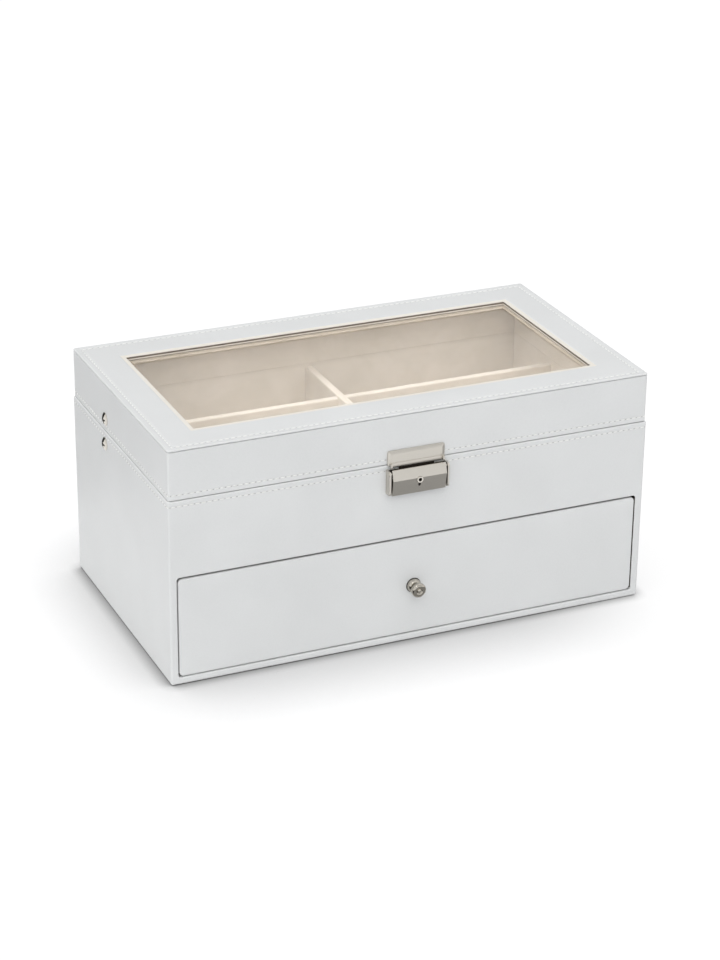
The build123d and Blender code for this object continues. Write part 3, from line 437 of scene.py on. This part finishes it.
def white_leather():
    leather = bpy.context.scene.box_leather
    name = "Polyurethane leather, embossed white"
    return material_once(name, lambda: pu_leather(name, leather.colour, leather.shade, leather.pebble))


def beige_suede(linings):
    return material_once("Microfibre suede, brushed", lambda: brushed_suede(linings))


class BOX_OT_base_leather(bpy.types.Operator):
    """Wraps the base in one skin, turned over the rim and into the drawer opening"""
    bl_idname = "box.base_leather"
    bl_label = "Base leather"

    def execute(self, context):
        leather, stitches = context.scene.box_leather, context.scene.box_stitches
        roll, turned, top = leather.rim_roll, leather.opening_roll, BASE_HIGH.z
        under, board_foot, lift, foot_roll = 3 * MM, 0.95 * MM, 0.3 * MM, 1.9 * MM
        profile = [(-under, board_foot), (-under, 0.5 * MM), (-foot_roll, lift)]
        profile += arc(-foot_roll, lift + foot_roll, foot_roll, -90, 90)[1:]
        face_foot = len(profile) - 1
        row = channel(top - stitches.base_row, leather.channel_depth)
        profile += [(-depth, height) for height, depth in row]
        profile += arc(-roll, top + leather.rim_puff - roll, roll, 0, 90) + [(-RIM_FLAT * roll, top)]
        profile += arc(HEM_ROLL - HEM, top - HEM_ROLL, HEM_ROLL, 90, 90)
        profile += [(-HEM, top - SKIN), (-SKIN, top - SKIN), (-SKIN, board_foot)]
        bm = bmesh.new()
        bands = sweep_round(bm, profile, BASE_LOW, BASE_HIGH, WALL_CORNER)
        front_wall = 6
        outer, inner = bands[face_foot][front_wall], bands[len(profile) - 2][front_wall]
        y, corner = BASE_LOW.y, 2.0 * MM
        reveal = []
        for reach, depth in arc(0.0, turned, turned, -90, 90):
            grow = turned - reach
            reveal.append(opening_loop(bm, OPENING_X + grow, OPENING_FOOT - grow, OPENING_TOP + grow,
                                       y + depth, corner + grow))
        roll_bands = len(reveal) - 1
        # Behind the roll the opening's corners are tight, because the drawer's sides pass close to them.
        lap, tight_corner = 0.1 * MM, 0.9 * MM
        for inset, depth in ((lap, 3 * MM), (lap, 5 * MM), (0.0, 5 * MM), (0.0, SKIN)):
            reveal.append(opening_loop(bm, OPENING_X - inset, OPENING_FOOT + inset, OPENING_TOP - inset,
                                       y + depth, tight_corner))
        # The opening's walls above its floor take a dark paper, painted shade for the deep gap round the drawer.
        for band in join_loops(bm, reveal)[roll_bands:]:
            for face in band:
                face.material_index = int(face.calc_center_median().z > OPENING_FOOT + MM)
        for face, hole in ((outer, reveal[0]), (inner, reveal[-1])):
            border = list(face.edges) + [bm.edges.get(pair) for pair in zip(hole, hole[1:] + hole[:1])]
            bmesh.ops.delete(bm, geom=[face], context="FACES_ONLY")
            bmesh.ops.triangle_fill(bm, edges=border, use_beauty=True)
        # Painted shade: the dark paper that darkens the gap round the drawer.
        liner = papered_fibreboard("Fibreboard in the drawer opening, painted shade", "#544C43", "#433C35")
        piece_object(bm, "base_leather_wrap", [white_leather(), liner], "base", ["base_leather_skin"])
        return {"FINISHED"}


class BOX_OT_lid_leather(bpy.types.Operator):
    """Wraps the lid's walls in one skin with rolled edges at the seam and in the groove"""
    bl_idname = "box.lid_leather"
    bl_label = "Lid leather"

    def execute(self, context):
        leather, stitches = context.scene.box_leather, context.scene.box_stitches
        roll, groove = leather.rim_roll, leather.groove_roll
        foot, top = LID_LOW.z, FRAME_HIGH.z - leather.frame_edge
        profile = [(-SKIN, top - 0.02 * MM), (-SKIN, foot + SKIN), (-HEM, foot + SKIN)]
        profile += arc(HEM_ROLL - HEM, foot + HEM_ROLL, HEM_ROLL, 180, 90)
        profile += [(-RIM_FLAT * roll, foot)] + arc(-roll, foot - leather.rim_puff + roll, roll, -90, 90)
        row = channel(foot + stitches.lid_row, leather.channel_depth)
        profile += [(-depth, height) for height, depth in row]
        profile += arc(-groove, top - groove, groove, 0, 80)
        bm = bmesh.new()
        sweep_round(bm, profile, LID_LOW, LID_HIGH, WALL_CORNER)
        piece_object(bm, "lid_leather_wrap", [white_leather()], "lid", ["lid_leather_skin"])
        return {"FINISHED"}


class BOX_OT_top_frame(bpy.types.Operator):
    """Pads the frame round the window and rolls its outer and inner edges"""
    bl_idname = "box.top_frame"
    bl_label = "Padded top frame"

    def execute(self, context):
        scene = context.scene
        leather, stitches = scene.box_leather, scene.box_stitches
        top, foot = FRAME_HIGH.z, FRAME_LOW.z
        roll, groove, groove_wall = leather.top_roll, leather.groove_roll, -1.1 * MM
        tread = top - leather.frame_edge + leather.groove_gap
        profile = [(groove_wall, foot), (groove_wall, tread)]
        profile += arc(-groove, tread + groove, groove, -90, 90) + arc(-roll, top - roll, roll, 0, 90)
        row = channel(-stitches.frame_row, FRAME_SINK * leather.channel_depth, 3.4 * MM)
        profile += [(out, top - depth) for out, depth in reversed(row)]
        # The white leather ends in a soft edge, from which a cream strip, drawn lighter than the leather as a
        # painted highlight, runs in to a dark band of painted shade and the glass.
        edge = PANE_SIDE_X - GLASS_LAP - FRAME_HIGH.x
        profile += [(edge + 1.2 * MM, top), (edge + 0.4 * MM, top - 0.08 * MM), (edge, top - 0.3 * MM)]
        cream_start = len(profile) - 1
        inner, strip_top = edge - leather.window_strip, top - 0.22 * MM
        profile += [(edge - 0.25 * MM, strip_top), (inner + 0.6 * MM, strip_top),
                    (inner + 0.15 * MM, top - 0.35 * MM), (inner, top - 0.65 * MM), (inner, top - 1.0 * MM)]
        # The first band down the drop is the dark painted shade, and the bands under it are suede.
        shade_band_start = len(profile) - 1
        profile += [(inner, top - 2.1 * MM), (inner, foot)]
        bm = bmesh.new()
        bands = sweep_round(bm, profile, FRAME_LOW, FRAME_HIGH, WALL_CORNER)
        for n, band in enumerate(bands[:-1]):
            for face in band:
                face.material_index = (n >= cream_start) + (n >= shade_band_start) + (n > shade_band_start)
        # The cream strip is its own colour, drawn lighter than the white leather as a painted highlight along the
        # window.
        cream = pu_leather("Polyurethane leather, cream turned edge", leather.window_edge, linear("#E3DDD2"),
                           leather.pebble)
        piece_object(bm, "lid_padded_frame",
                     [white_leather(), cream, reveal_painted_shade(), beige_suede(scene.box_linings)],
                     "lid", ["lid_top_frame"])
        return {"FINISHED"}


class BOX_OT_drawer_panel(bpy.types.Operator):
    """Pads the drawer's front panel, with round corners and a soft rolled edge"""
    bl_idname = "box.drawer_panel"
    bl_label = "Padded drawer front"

    def execute(self, context):
        padding, roll, widened = 0.3 * MM, 1.1 * MM, 0.35 * MM
        front, back = FRONT_LOW.y, FRONT_HIGH.y
        steps = [(0.0, back), (0.0, front + roll + padding)]
        steps += [(roll - r, front + padding + roll - d) for r, d in arc(0.0, 0.0, roll, 0, 80, 6)[1:]]
        steps += [(4 * MM, front + 0.12 * MM), (9 * MM, front + 0.03 * MM)]
        half_x = FRONT_HIGH.x - MIDDLE_X + widened
        bm = bmesh.new()
        loops = [opening_loop(bm, half_x - inset, FRONT_LOW.z + inset, FRONT_HIGH.z - inset, y,
                              PANEL_CORNER - inset * 0.8, 8) for inset, y in steps]
        join_loops(bm, loops)
        bm.faces.new(loops[0])
        bm.faces.new(loops[-1])
        piece_object(bm, "drawer_padded_front", [white_leather()], "drawer", ["drawer_front"])
        return {"FINISHED"}


def stitch_tree():
    """Node tree that lays rounded beads of thread, or darker beads of painted shade for the needle holes, at every
    second step along a path.
    """
    tree = bpy.data.node_groups.new("Row of stitches", "GeometryNodeTree")
    tree.is_modifier = True
    for name, kind in (("Geometry", "Geometry"), ("Stitches", "Int"), ("Length", "Float"),
                       ("Thickness", "Float"), ("Phase", "Int"), ("Unevenness", "Float"), ("Seed", "Int"),
                       ("Material", "Material")):
        port = tree.interface.new_socket(name, in_out="INPUT", socket_type="NodeSocket" + kind)
        if name in ("Length", "Thickness"):
            port.subtype = "DISTANCE"
    tree.interface.new_socket("Geometry", in_out="OUTPUT", socket_type="NodeSocketGeometry")
    given = add_node(tree, "NodeGroupInput").outputs
    path = add_node(tree, "GeometryNodeMeshToCurve", links={0: given["Geometry"]})
    halves = add_node(tree, "ShaderNodeMath", {"operation": "MULTIPLY", 1: 2.0}, {0: given["Stitches"]})
    places = add_node(tree, "GeometryNodeCurveToPoints", {"mode": "COUNT"}, {"Curve": path, "Count": halves})
    number = add_node(tree, "GeometryNodeInputIndex")
    parity = add_node(tree, "ShaderNodeMath", {"operation": "MODULO", 1: 2.0}, {0: number})
    chosen = add_node(tree, "ShaderNodeMath", {"operation": "COMPARE", 2: 0.1}, {0: parity, 1: given["Phase"]})
    along = add_node(tree, "FunctionNodeAlignRotationToVector", {"axis": "X"},
                     {"Vector": places.outputs["Tangent"]})
    half = add_node(tree, "ShaderNodeMath", {"operation": "MULTIPLY", 1: 0.5}, {0: given["Length"]})
    thin = add_node(tree, "ShaderNodeMath", {"operation": "MULTIPLY", 1: 0.5}, {0: given["Thickness"]})
    size = add_node(tree, "ShaderNodeCombineXYZ", links={"X": half, "Y": thin, "Z": thin})
    ball = add_node(tree, "GeometryNodeMeshUVSphere", {"Segments": 8, "Rings": 5})
    bead = add_node(tree, "GeometryNodeTransform", links={"Geometry": ball, "Scale": size})
    least = add_node(tree, "ShaderNodeMath", {"operation": "SUBTRACT", 0: 1.0}, {1: given["Unevenness"]})
    spread = add_node(tree, "FunctionNodeRandomValue", links={"Min": least, "Seed": given["Seed"]})
    row = add_node(tree, "GeometryNodeInstanceOnPoints",
                   links={"Points": places, "Selection": chosen, "Instance": bead, "Rotation": along,
                          "Scale": spread.outputs[1]})
    real = add_node(tree, "GeometryNodeRealizeInstances", links={0: row})
    smooth = add_node(tree, "GeometryNodeSetShadeSmooth", links={0: real})
    made = add_node(tree, "GeometryNodeSetMaterial", links={"Geometry": smooth, "Material": given["Material"]})
    add_node(tree, "NodeGroupOutput", links={0: made})
    return tree


def stitched_row(tree, name, loop, height, body, pitch, sizes, material):
    """One row of beads round a closed path, as a plain mesh on its body."""
    mesh = bpy.data.meshes.new(name)
    count = len(loop)
    mesh.from_pydata([(x, y, height) for x, y in loop], [(k, (k + 1) % count) for k in range(count)], [])
    row = new_object(name, mesh)
    modifier = row.modifiers.new("Row of stitches", "NODES")
    modifier.node_group = tree
    around = sum((Vector(loop[k]) - Vector(loop[(k + 1) % count])).length for k in range(count))
    stitches = round(around / pitch)
    values = dict(sizes, Stitches=stitches, Seed=STITCH_SEED, Material=material)
    for item in tree.interface.items_tree:
        if item.in_out == "INPUT" and item.name in values:
            modifier[item.identifier] = values[item.name]
    made = bpy.data.meshes.new_from_object(row.evaluated_get(bpy.context.evaluated_depsgraph_get()))
    row.modifiers.remove(modifier)
    row.data = made
    made.name = name
    if len(made.polygons) < stitches:
        raise RuntimeError(f"{name} came out with too few stitches")
    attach(row, body)


class BOX_OT_stitching(bpy.types.Operator):
    """Sews a row along both sides of the seam and one round the top frame"""
    bl_idname = "box.stitching"
    bl_label = "Stitching"

    def execute(self, context):
        stitches, sunk = context.scene.box_stitches, context.scene.box_leather.channel_depth
        thread, hole_shade = polyester_thread(stitches), needle_hole_painted_shade(stitches)
        tree = stitch_tree()
        # Row, body, walls that it follows, how far in, height, and how thick its holes are for their width
        rows = (("base", "base", BASE_LOW, BASE_HIGH, sunk, BASE_HIGH.z - stitches.base_row, 0.7),
                ("lid", "lid", LID_LOW, LID_HIGH, sunk, LID_LOW.z + stitches.lid_row, 0.7),
                ("frame", "lid", FRAME_LOW, FRAME_HIGH, stitches.frame_row,
                 FRAME_HIGH.z - FRAME_SINK * sunk, 0.35))
        for name, body, low, high, inset, height, flatness in rows:
            loop = rounded_loop(low, high, -inset, WALL_CORNER)
            beads = {"Length": stitches.length, "Thickness": stitches.thread, "Phase": 0, "Unevenness": 0.08}
            # The needle holes are darker beads between the stitches, painted shade for the shadow inside each
            # hole.
            holes = {"Length": stitches.hole, "Thickness": stitches.hole * flatness, "Phase": 1,
                     "Unevenness": 0.15}
            for suffix, sizes, material in (("_stitches", beads, thread), ("_needle_holes", holes, hole_shade)):
                stitched_row(tree, name + suffix, loop, height, body, stitches.pitch, sizes, material)
        return {"FINISHED"}


class BOX_OT_linings(bpy.types.Operator):
    """Covers the linings, dividers and drawer boards with suede, and the bare boards with paper"""
    bl_idname = "box.linings"
    bl_label = "Linings, boards and felt"

    def execute(self, context):
        linings = context.scene.box_linings
        suede, felt = beige_suede(linings), wool_felt(linings)
        board = papered_fibreboard("Fibreboard faced with liner paper", linings.board, "#A99F8F")
        cover_nodes(felt, ["base_felt"])
        cover_nodes(board, [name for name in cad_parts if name.endswith("_board")]
                    + ["base_front_rail", "tray_deck"])
        cover_nodes(suede, [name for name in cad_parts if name.endswith(("_lining", "_divider"))]
                    + ["glass_retainer", "drawer_right_side", "drawer_left_side", "drawer_back", "drawer_floor"])
        low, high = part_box("tray_long_divider")
        left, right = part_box("tray_left_lining")[1].x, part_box("tray_right_lining")[0].x
        inner_low, inner_high = Vector((left, low.y, 0)), Vector((right, high.y, 0))
        tray_top, lining_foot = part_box("tray_right_lining")[1].z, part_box("lid_right_lining")[0].z
        seam = BASE_HIGH.z
        self.welt("tray_lining_welt", suede, inner_low, inner_high, tray_top, seam + 0.1 * MM, "base")
        self.welt("lid_lining_welt", suede, inner_low, inner_high, seam + 0.25 * MM, lining_foot, "lid")
        return {"FINISHED"}

    def welt(self, name, suede, low, high, foot, top, body):
        """A strip of suede turned over the edge of the linings, where the lid meets the tray."""
        width = 3.2 * MM
        bm = bmesh.new()
        sweep_round(bm, [(0.0, foot), (width, foot), (width, top), (0.0, top)], low, high, LEAST_CORNER)
        piece_object(bm, name, [suede], body)


class BOX_OT_glass(bpy.types.Operator):
    """Glazes the lid's window"""
    bl_idname = "box.glass"
    bl_label = "Window glass"

    def execute(self, context):
        cover_nodes(float_glass(context.scene.box_metal), ["glass_pane"])
        return {"FINISHED"}


class BOX_OT_nickel(bpy.types.Operator):
    """Plates the lock, the knob, the stays and the hinges"""
    bl_idname = "box.nickel"
    bl_label = "Nickel hardware"

    def execute(self, context):
        metal = context.scene.box_metal
        bright = polished_nickel("Nickel plate, polished", metal, (0.06, 0.14))
        mirror = polished_nickel("Nickel plate, mirror polished", metal, (0.04, 0.1), "#918A7C")
        satin = polished_nickel("Nickel plate, barrel finished", metal, (0.22, 0.36))
        black = painted_shade_black()
        self.lock(brushed_nickel(metal), bright, satin, black)
        self.knob(mirror, black)
        domes = ["stay_base_post", "stay_lid_post"]
        cover_nodes(bright, domes)
        shaped = ["drawer_knob", "lock_base_plate", "lock_lid_plate", "lock_flap", "lock_barrel"]
        cover_nodes(satin, [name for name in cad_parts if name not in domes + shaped
                            and name.startswith(("hinge_", "stay_", "lock_", "knob_"))])
        return {"FINISHED"}

    def lock(self, brushed, bright, satin, black):
        """Rounds the lock's edges, plates what shows and paints black shade on what lies inside or in its
        recesses.
        """
        plate_low, plate_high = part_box("lock_lid_plate")
        barrel_low, barrel_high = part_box("lock_barrel")
        middle, bore_z = (barrel_low.x + barrel_high.x) / 2, barrel_low.z + 3.0 * MM
        lip_foot = BASE_HIGH.z - 0.8 * MM

        # Each of these tells whether a face lies inside the lock or in a recess, where the black painted shade
        # goes.
        def plate_inside(face, centre):
            under_lip = face.normal.z < -0.3 and centre.z < plate_high.z - 5 * MM
            return centre.z < lip_foot - 0.01 * MM or under_lip

        def base_inside(face, centre):
            between_ears = abs(centre.x - middle) < (plate_high.x - plate_low.x) / 2
            return between_ears and centre.y > BASE_LOW.y - 2 * MM and centre.z < BASE_HIGH.z - 3 * MM

        def flap_inside(face, centre):
            in_slot = abs(centre.x - middle) < 1.2 * MM and abs(face.normal.y) < 0.3 and centre.z < bore_z
            return face.normal.y > 0.2 or in_slot

        def barrel_inside(face, centre):
            off_axis = math.hypot(centre.x - middle, centre.z - bore_z)
            return off_axis < 1.25 * MM and centre.y > barrel_low.y + 0.15 * MM

        # The lid's plate is lowered: heights over the first move down by the second, and the last is cut level.
        lowered = (plate_high.z - 3 * MM, 1.2 * MM, lip_foot)
        for node, name, body, edge, inside, metal, lower in (
                ("lock_lid_plate", "lock_bevelled_plate", "lid", 0.22, plate_inside, brushed, lowered),
                ("lock_flap", "lock_ridged_flap", "lock_flap", 0.22, flap_inside, brushed, None),
                ("lock_base_plate", "lock_eared_plate", "base", 0.2, base_inside, brushed, None),
                ("lock_barrel", "lock_key_barrel", "lock_barrel", 0.12, barrel_inside, bright, None)):
            self.eased(node, name, body, edge * MM, inside, [metal, black, satin], lower)

    def eased(self, node, name, body, edge, inside, materials, lower):
        """A copy of a CAD node with its sharp edges rounded, which takes the node's place."""
        bm = bmesh.new()
        bm.from_mesh(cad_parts[node].data)
        bmesh.ops.remove_doubles(bm, verts=bm.verts, dist=0.002 * MM)
        if lower:
            for vert in bm.verts:
                if vert.co.z > lower[0]:
                    vert.co.z -= lower[1]
        bmesh.ops.dissolve_limit(bm, angle_limit=math.radians(FLAT), verts=bm.verts, edges=bm.edges)
        if lower:
            cut = list(bm.verts) + list(bm.edges) + list(bm.faces)
            bmesh.ops.bisect_plane(bm, geom=cut, plane_co=(0, 0, lower[2]), plane_no=(0, 0, 1))
        sharp = [e for e in bm.edges if len(e.link_faces) == 2 and e.calc_face_angle() > math.radians(EASED)]
        bmesh.ops.bevel(bm, geom=sharp, offset=edge, segments=2, profile=0.5, affect="EDGES")
        bm.normal_update()
        for face in bm.faces:
            face.material_index = int(inside(face, face.calc_center_median()))
        piece_object(bm, name, materials, body, [node], CREASED)

    def knob(self, bright, black):
        """Turns the drawer's knob with a domed foot and a rounded end, on a thin dark ring of painted shade that
        outlines its foot.
        """
        low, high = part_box("drawer_knob")
        top = (high.y - low.y) / MM
        profile = [(0.0, 0.3), (4.6, 0.3), (4.75, 0.5), (4.75, 0.9)]
        profile += self.quarter(2.3, 0.9, 2.4, 2.6, (15, 30, 45, 60, 75, 90))
        profile += [(2.3, 5.6), (2.6, 5.9), (4.4, 6.6), (4.85, 7.0), (4.9, 7.4), (4.9, 8.5), (4.75, 9.0),
                    (4.35, 9.35), (3.6, 9.65), (2.8, 9.75), (2.2, 9.6), (1.8, 9.3), (1.55, 9.2)]
        profile += self.quarter(0.0, 9.25, 1.5, top - 9.25, (15, 35, 55, 75)) + [(0.0, top)]
        # The thin dark ring is painted shade round the knob's foot.
        shade_ring = [(0.0, 0.02), (5.0, 0.02), (5.1, 0.12), (5.0, 0.25), (0.0, 0.25)]
        centre = ((low.x + high.x) / 2, high.y, (low.z + high.z) / 2)
        self.turned("drawer_turned_knob", profile, centre, bright, ["drawer_knob"])
        self.turned("knob_shade_ring", shade_ring, centre, black, ())

    def quarter(self, radius, reach, width, height, degrees):
        """Points of an oval quarter in a turned profile."""
        return [(radius + width * math.cos(math.radians(a)), reach + height * math.sin(math.radians(a)))
                for a in degrees]

    def turned(self, name, profile, centre, metal, replaced, steps=48):
        """A turned piece: points of radius and reach in millimetres go round an axis that points forward."""
        bm = bmesh.new()
        loops = []
        for radius, reach in profile:
            count = steps if radius else 1
            ring = arc(centre[0], centre[2], radius * MM, 0, 360 * (count - 1) / count, max(count - 1, 1))
            loops.append([bm.verts.new((x, centre[1] - reach * MM, z)) for x, z in ring[:count]])
        for lower, upper in zip(loops, loops[1:]):
            for k in range(steps):
                corners = [lower[k % len(lower)], lower[(k + 1) % len(lower)],
                           upper[(k + 1) % len(upper)], upper[k % len(upper)]]
                bm.faces.new(list(dict.fromkeys(corners)))
        piece_object(bm, name, [metal], "drawer", replaced)


def stage_card(name, low, high, material):
    """A flat card that belongs to the studio, level or upright, between two opposite corners."""
    (x0, y0, z0), (x1, y1, z1) = low, high
    mesh = bpy.data.meshes.new(name)
    mesh.from_pydata([(x0, y0, z0), (x1, y0, z0), (x1, y1, z1), (x0, y1, z1)], [], [(0, 1, 2, 3)])
    mesh.materials.append(material)
    card = new_object(name, mesh)
    return card


def white_seen(tree):
    """1 where a ray comes from the camera, off a shiny face or through glass, and 0 for the light itself."""
    ray = add_node(tree, "ShaderNodeLightPath").outputs
    shiny = add_node(tree, "ShaderNodeMath", {"operation": "MAXIMUM"},
                     {0: ray["Is Camera Ray"], 1: ray["Is Glossy Ray"]})
    return add_node(tree, "ShaderNodeMath", {"operation": "MAXIMUM"}, {0: shiny, 1: ray["Is Transmission Ray"]})


class BOX_OT_studio(bpy.types.Operator):
    """Sets up the white floor, the soft light and the camera"""
    bl_idname = "box.studio"
    bl_label = "Studio"

    def execute(self, context):
        studio, scene = context.scene.box_studio, context.scene
        scene.view_settings.view_transform = "Standard"
        self.floor(studio)
        for name, shade, low, high in REFLECTION_CARDS:
            self.card(name, shade, low, high)
        self.light(scene, studio)
        self.camera(scene, studio)
        return {"FINISHED"}

    def floor(self, studio):
        # Seamless white paper sweep: matt and even. What looks at it sees white with only a part of the shadow.
        material, tree = new_material("Seamless white paper")
        paper = add_node(tree, "ShaderNodeBsdfDiffuse", {"Color": (0.86, 0.86, 0.86, 1.0)})
        # A little over white, so that the open floor is plain. Near the box's front and left a painted shadow,
        # from the occlusion round the box, darkens the paper, with a painted contact shadow along its foot; to the
        # right both fade out by position, and the real shadow's share drops.
        glow, full = studio.floor_glow, 1.04
        key_share, front_share = 0.29, 0.08
        share = (full - glow) / (studio.sky + key_share * studio.key + front_share * studio.front)
        # Painted shadow: ambient occlusion round the box, tilted towards it, darkens what the camera sees of the
        # floor.
        near = add_node(tree, "ShaderNodeAmbientOcclusion",
                        {"samples": 16, "Distance": 85 * MM, "Normal": (0.0, 0.62, 0.78)})
        place = add_node(tree, "ShaderNodeTexCoord").outputs["Object"]
        across = add_node(tree, "ShaderNodeSeparateXYZ", links={0: place})
        right_shadow_fade = add_node(tree, "ShaderNodeMapRange",
                             {"interpolation_type": "SMOOTHSTEP", "From Min": 0.06, "From Max": 0.2},
                             {"Value": across})
        left_shadow_fade = add_node(tree, "ShaderNodeMapRange", {"From Min": -0.168, "From Max": -0.225, "To Max": 0.7},
                             {"Value": across})
        shadow_fades = add_node(tree, "ShaderNodeMath", {"operation": "MAXIMUM"}, {0: right_shadow_fade, 1: left_shadow_fade})
        least = add_node(tree, "ShaderNodeMapRange", {"To Min": 0.26, "To Max": 0.85}, {"Value": shadow_fades})
        kept = add_node(tree, "ShaderNodeMapRange", links={"Value": near.outputs["AO"], "To Min": least})
        touch = add_node(tree, "ShaderNodeAmbientOcclusion", {"samples": 16, "Distance": 9 * MM})
        contact = add_node(tree, "ShaderNodeMapRange", {"To Min": 0.15}, {"Value": touch.outputs["AO"]})
        shade = add_node(tree, "ShaderNodeMath", {"operation": "MULTIPLY"}, {0: kept, 1: contact})
        tint = add_node(tree, "ShaderNodeCombineXYZ", links={axis: shade for axis in "XYZ"})
        lit_share = add_node(tree, "ShaderNodeMapRange", {"To Min": share, "To Max": 0.25 * share},
                             {"Value": right_shadow_fade})
        own_light = add_node(tree, "ShaderNodeMapRange", {"To Min": glow, "To Max": glow + 0.75 * (full - glow)},
                             {"Value": right_shadow_fade})
        lit = add_node(tree, "ShaderNodeVectorMath", {"operation": "SCALE"}, {0: tint, "Scale": lit_share})
        shadowed = add_node(tree, "ShaderNodeBsdfDiffuse", links={"Color": lit})
        white = add_node(tree, "ShaderNodeEmission", links={"Color": tint, "Strength": own_light})
        seen = add_node(tree, "ShaderNodeAddShader", links={0: shadowed, 1: white})
        both = add_node(tree, "ShaderNodeMixShader", links={0: white_seen(tree), 1: paper, 2: seen})
        add_node(tree, "ShaderNodeOutputMaterial", links={"Surface": both})
        stage_card("floor", (-FLOOR_REACH, -FLOOR_REACH, 0), (FLOOR_REACH, FLOOR_REACH, 0), material)

    def card(self, name, shade, low, high):
        # Matt card that only a shiny surface sees. It lights and shades nothing.
        material, tree = new_material("Matt card, " + name)
        ink = add_node(tree, "ShaderNodeEmission", {"Color": (shade, shade, shade, 1.0)})
        add_node(tree, "ShaderNodeOutputMaterial", links={"Surface": ink})
        card = stage_card(name, low, high, material)
        card.visible_camera = card.visible_diffuse = card.visible_transmission = card.visible_shadow = False

    def light(self, scene, studio):
        world = bpy.data.worlds.new("White studio")
        world.use_nodes = True
        tree = world.node_tree
        tree.nodes.clear()
        sky = add_node(tree, "ShaderNodeBackground", {"Color": linear("#F6F9FF"), "Strength": studio.sky})
        white = add_node(tree, "ShaderNodeBackground", {"Color": (1.0, 1.0, 1.0, 1.0)})
        both = add_node(tree, "ShaderNodeMixShader", links={0: white_seen(tree), 1: sky, 2: white})
        add_node(tree, "ShaderNodeOutputWorld", links={"Surface": both})
        scene.world = world
        for name, strength, spread, way, colour in (
                ("Key", studio.key, 85, (0.44, 0.16, -1.0), "#FFFEFD"),
                ("Front", studio.front, 70, (0.0, 1.0, -0.35), "#FFFFFF"),
                ("Back", studio.back, 60, (-0.1, -1.0, -0.5), "#FFFFFF"),
                ("Spark", studio.spark, 9, (0.25, 0.75, -0.62), "#FFFFFF")):
            light = bpy.data.lights.new(name, "SUN")
            light.energy, light.angle, light.color = strength, math.radians(spread), linear(colour)[:3]
            lamp = new_object(name, light)
            lamp.visible_glossy = name == "Spark"
            lamp.rotation_euler = Vector(way).to_track_quat("-Z", "Y").to_euler()

    def camera(self, scene, studio):
        azimuth, elevation, roll = [math.radians(angle) for angle in CAMERA_TURN]
        ahead = Vector((math.sin(azimuth) * math.cos(elevation), math.cos(azimuth) * math.cos(elevation),
                        -math.sin(elevation)))
        level = ahead.cross(Vector((0, 0, 1))).normalized()
        above = level.cross(ahead)
        right = math.cos(roll) * level + math.sin(roll) * above
        up = math.cos(roll) * above - math.sin(roll) * level
        lens = bpy.data.cameras.new("Camera")
        lens.sensor_fit, lens.sensor_height = "VERTICAL", 36.0
        lens.lens, lens.clip_end = studio.lens, 100.0
        camera = new_object("Camera", lens)
        turn = Matrix((right, up, -ahead)).transposed()
        camera.matrix_world = Matrix.Translation(CAMERA_PLACE) @ turn.to_4x4()
        scene.camera = camera


# Cards that the metal and the glass reflect: name, shade from black to white, two opposite corners in metres
REFLECTION_CARDS = (
    ("front_card", 0.36, (-0.5, -0.275, 0.002), (0.5, -0.11, 0.002)),
    ("left_card", 0.05, (-0.5, 0.2, 0.002), (-0.12, 0.55, 0.002)),
    ("left_wall_card", 0.04, (-0.8, 0.55, 0.0), (-0.12, 0.55, 0.6)),
    ("knob_card", 0.04, (-0.2, -0.2, 0.004), (-0.03, -0.105, 0.004)),
    ("lock_card", 0.68, (0.1, -1.2, 0.28), (1.1, -1.2, 0.8)),
    ("back_card", 0.28, (-0.45, 1.0, 0.36), (1.3, 1.0, 0.95)),
    ("near_card", 0.10, (-0.3, 0.34, 0.17), (0.6, 0.34, 0.3)),
)

OPERATORS = (BOX_OT_studio, BOX_OT_base_leather, BOX_OT_lid_leather, BOX_OT_top_frame, BOX_OT_drawer_panel,
             BOX_OT_stitching, BOX_OT_linings, BOX_OT_glass, BOX_OT_nickel)


class BOX_PT_pieces(bpy.types.Panel):
    """Lists the pieces of the storage box"""
    bl_idname = "BOX_PT_pieces"
    bl_label = "Storage box"
    bl_space_type = "VIEW_3D"
    bl_region_type = "UI"
    bl_category = "Storage box"

    def draw(self, context):
        column = self.layout.column()
        for group_name in SETTING_GROUPS:
            group = getattr(context.scene, group_name)
            for setting in group.bl_rna.properties:
                if not setting.is_readonly and setting.identifier != "name":
                    column.prop(group, setting.identifier)
        for operator in OPERATORS:
            column.operator(operator.bl_idname)


def register():
    for name, group in SETTING_GROUPS.items():
        bpy.utils.register_class(group)
        setattr(bpy.types.Scene, name, bpy.props.PointerProperty(type=group))
    for cls in OPERATORS + (BOX_PT_pieces,):
        bpy.utils.register_class(cls)


def unregister():
    for cls in reversed(OPERATORS + (BOX_PT_pieces,)):
        bpy.utils.unregister_class(cls)
    for name, group in SETTING_GROUPS.items():
        delattr(bpy.types.Scene, name)
        bpy.utils.unregister_class(group)


def main():
    register()
    for operator in OPERATORS:
        getattr(bpy.ops.box, operator.bl_idname.split(".")[1])()


if __name__ == "__main__":
    main()
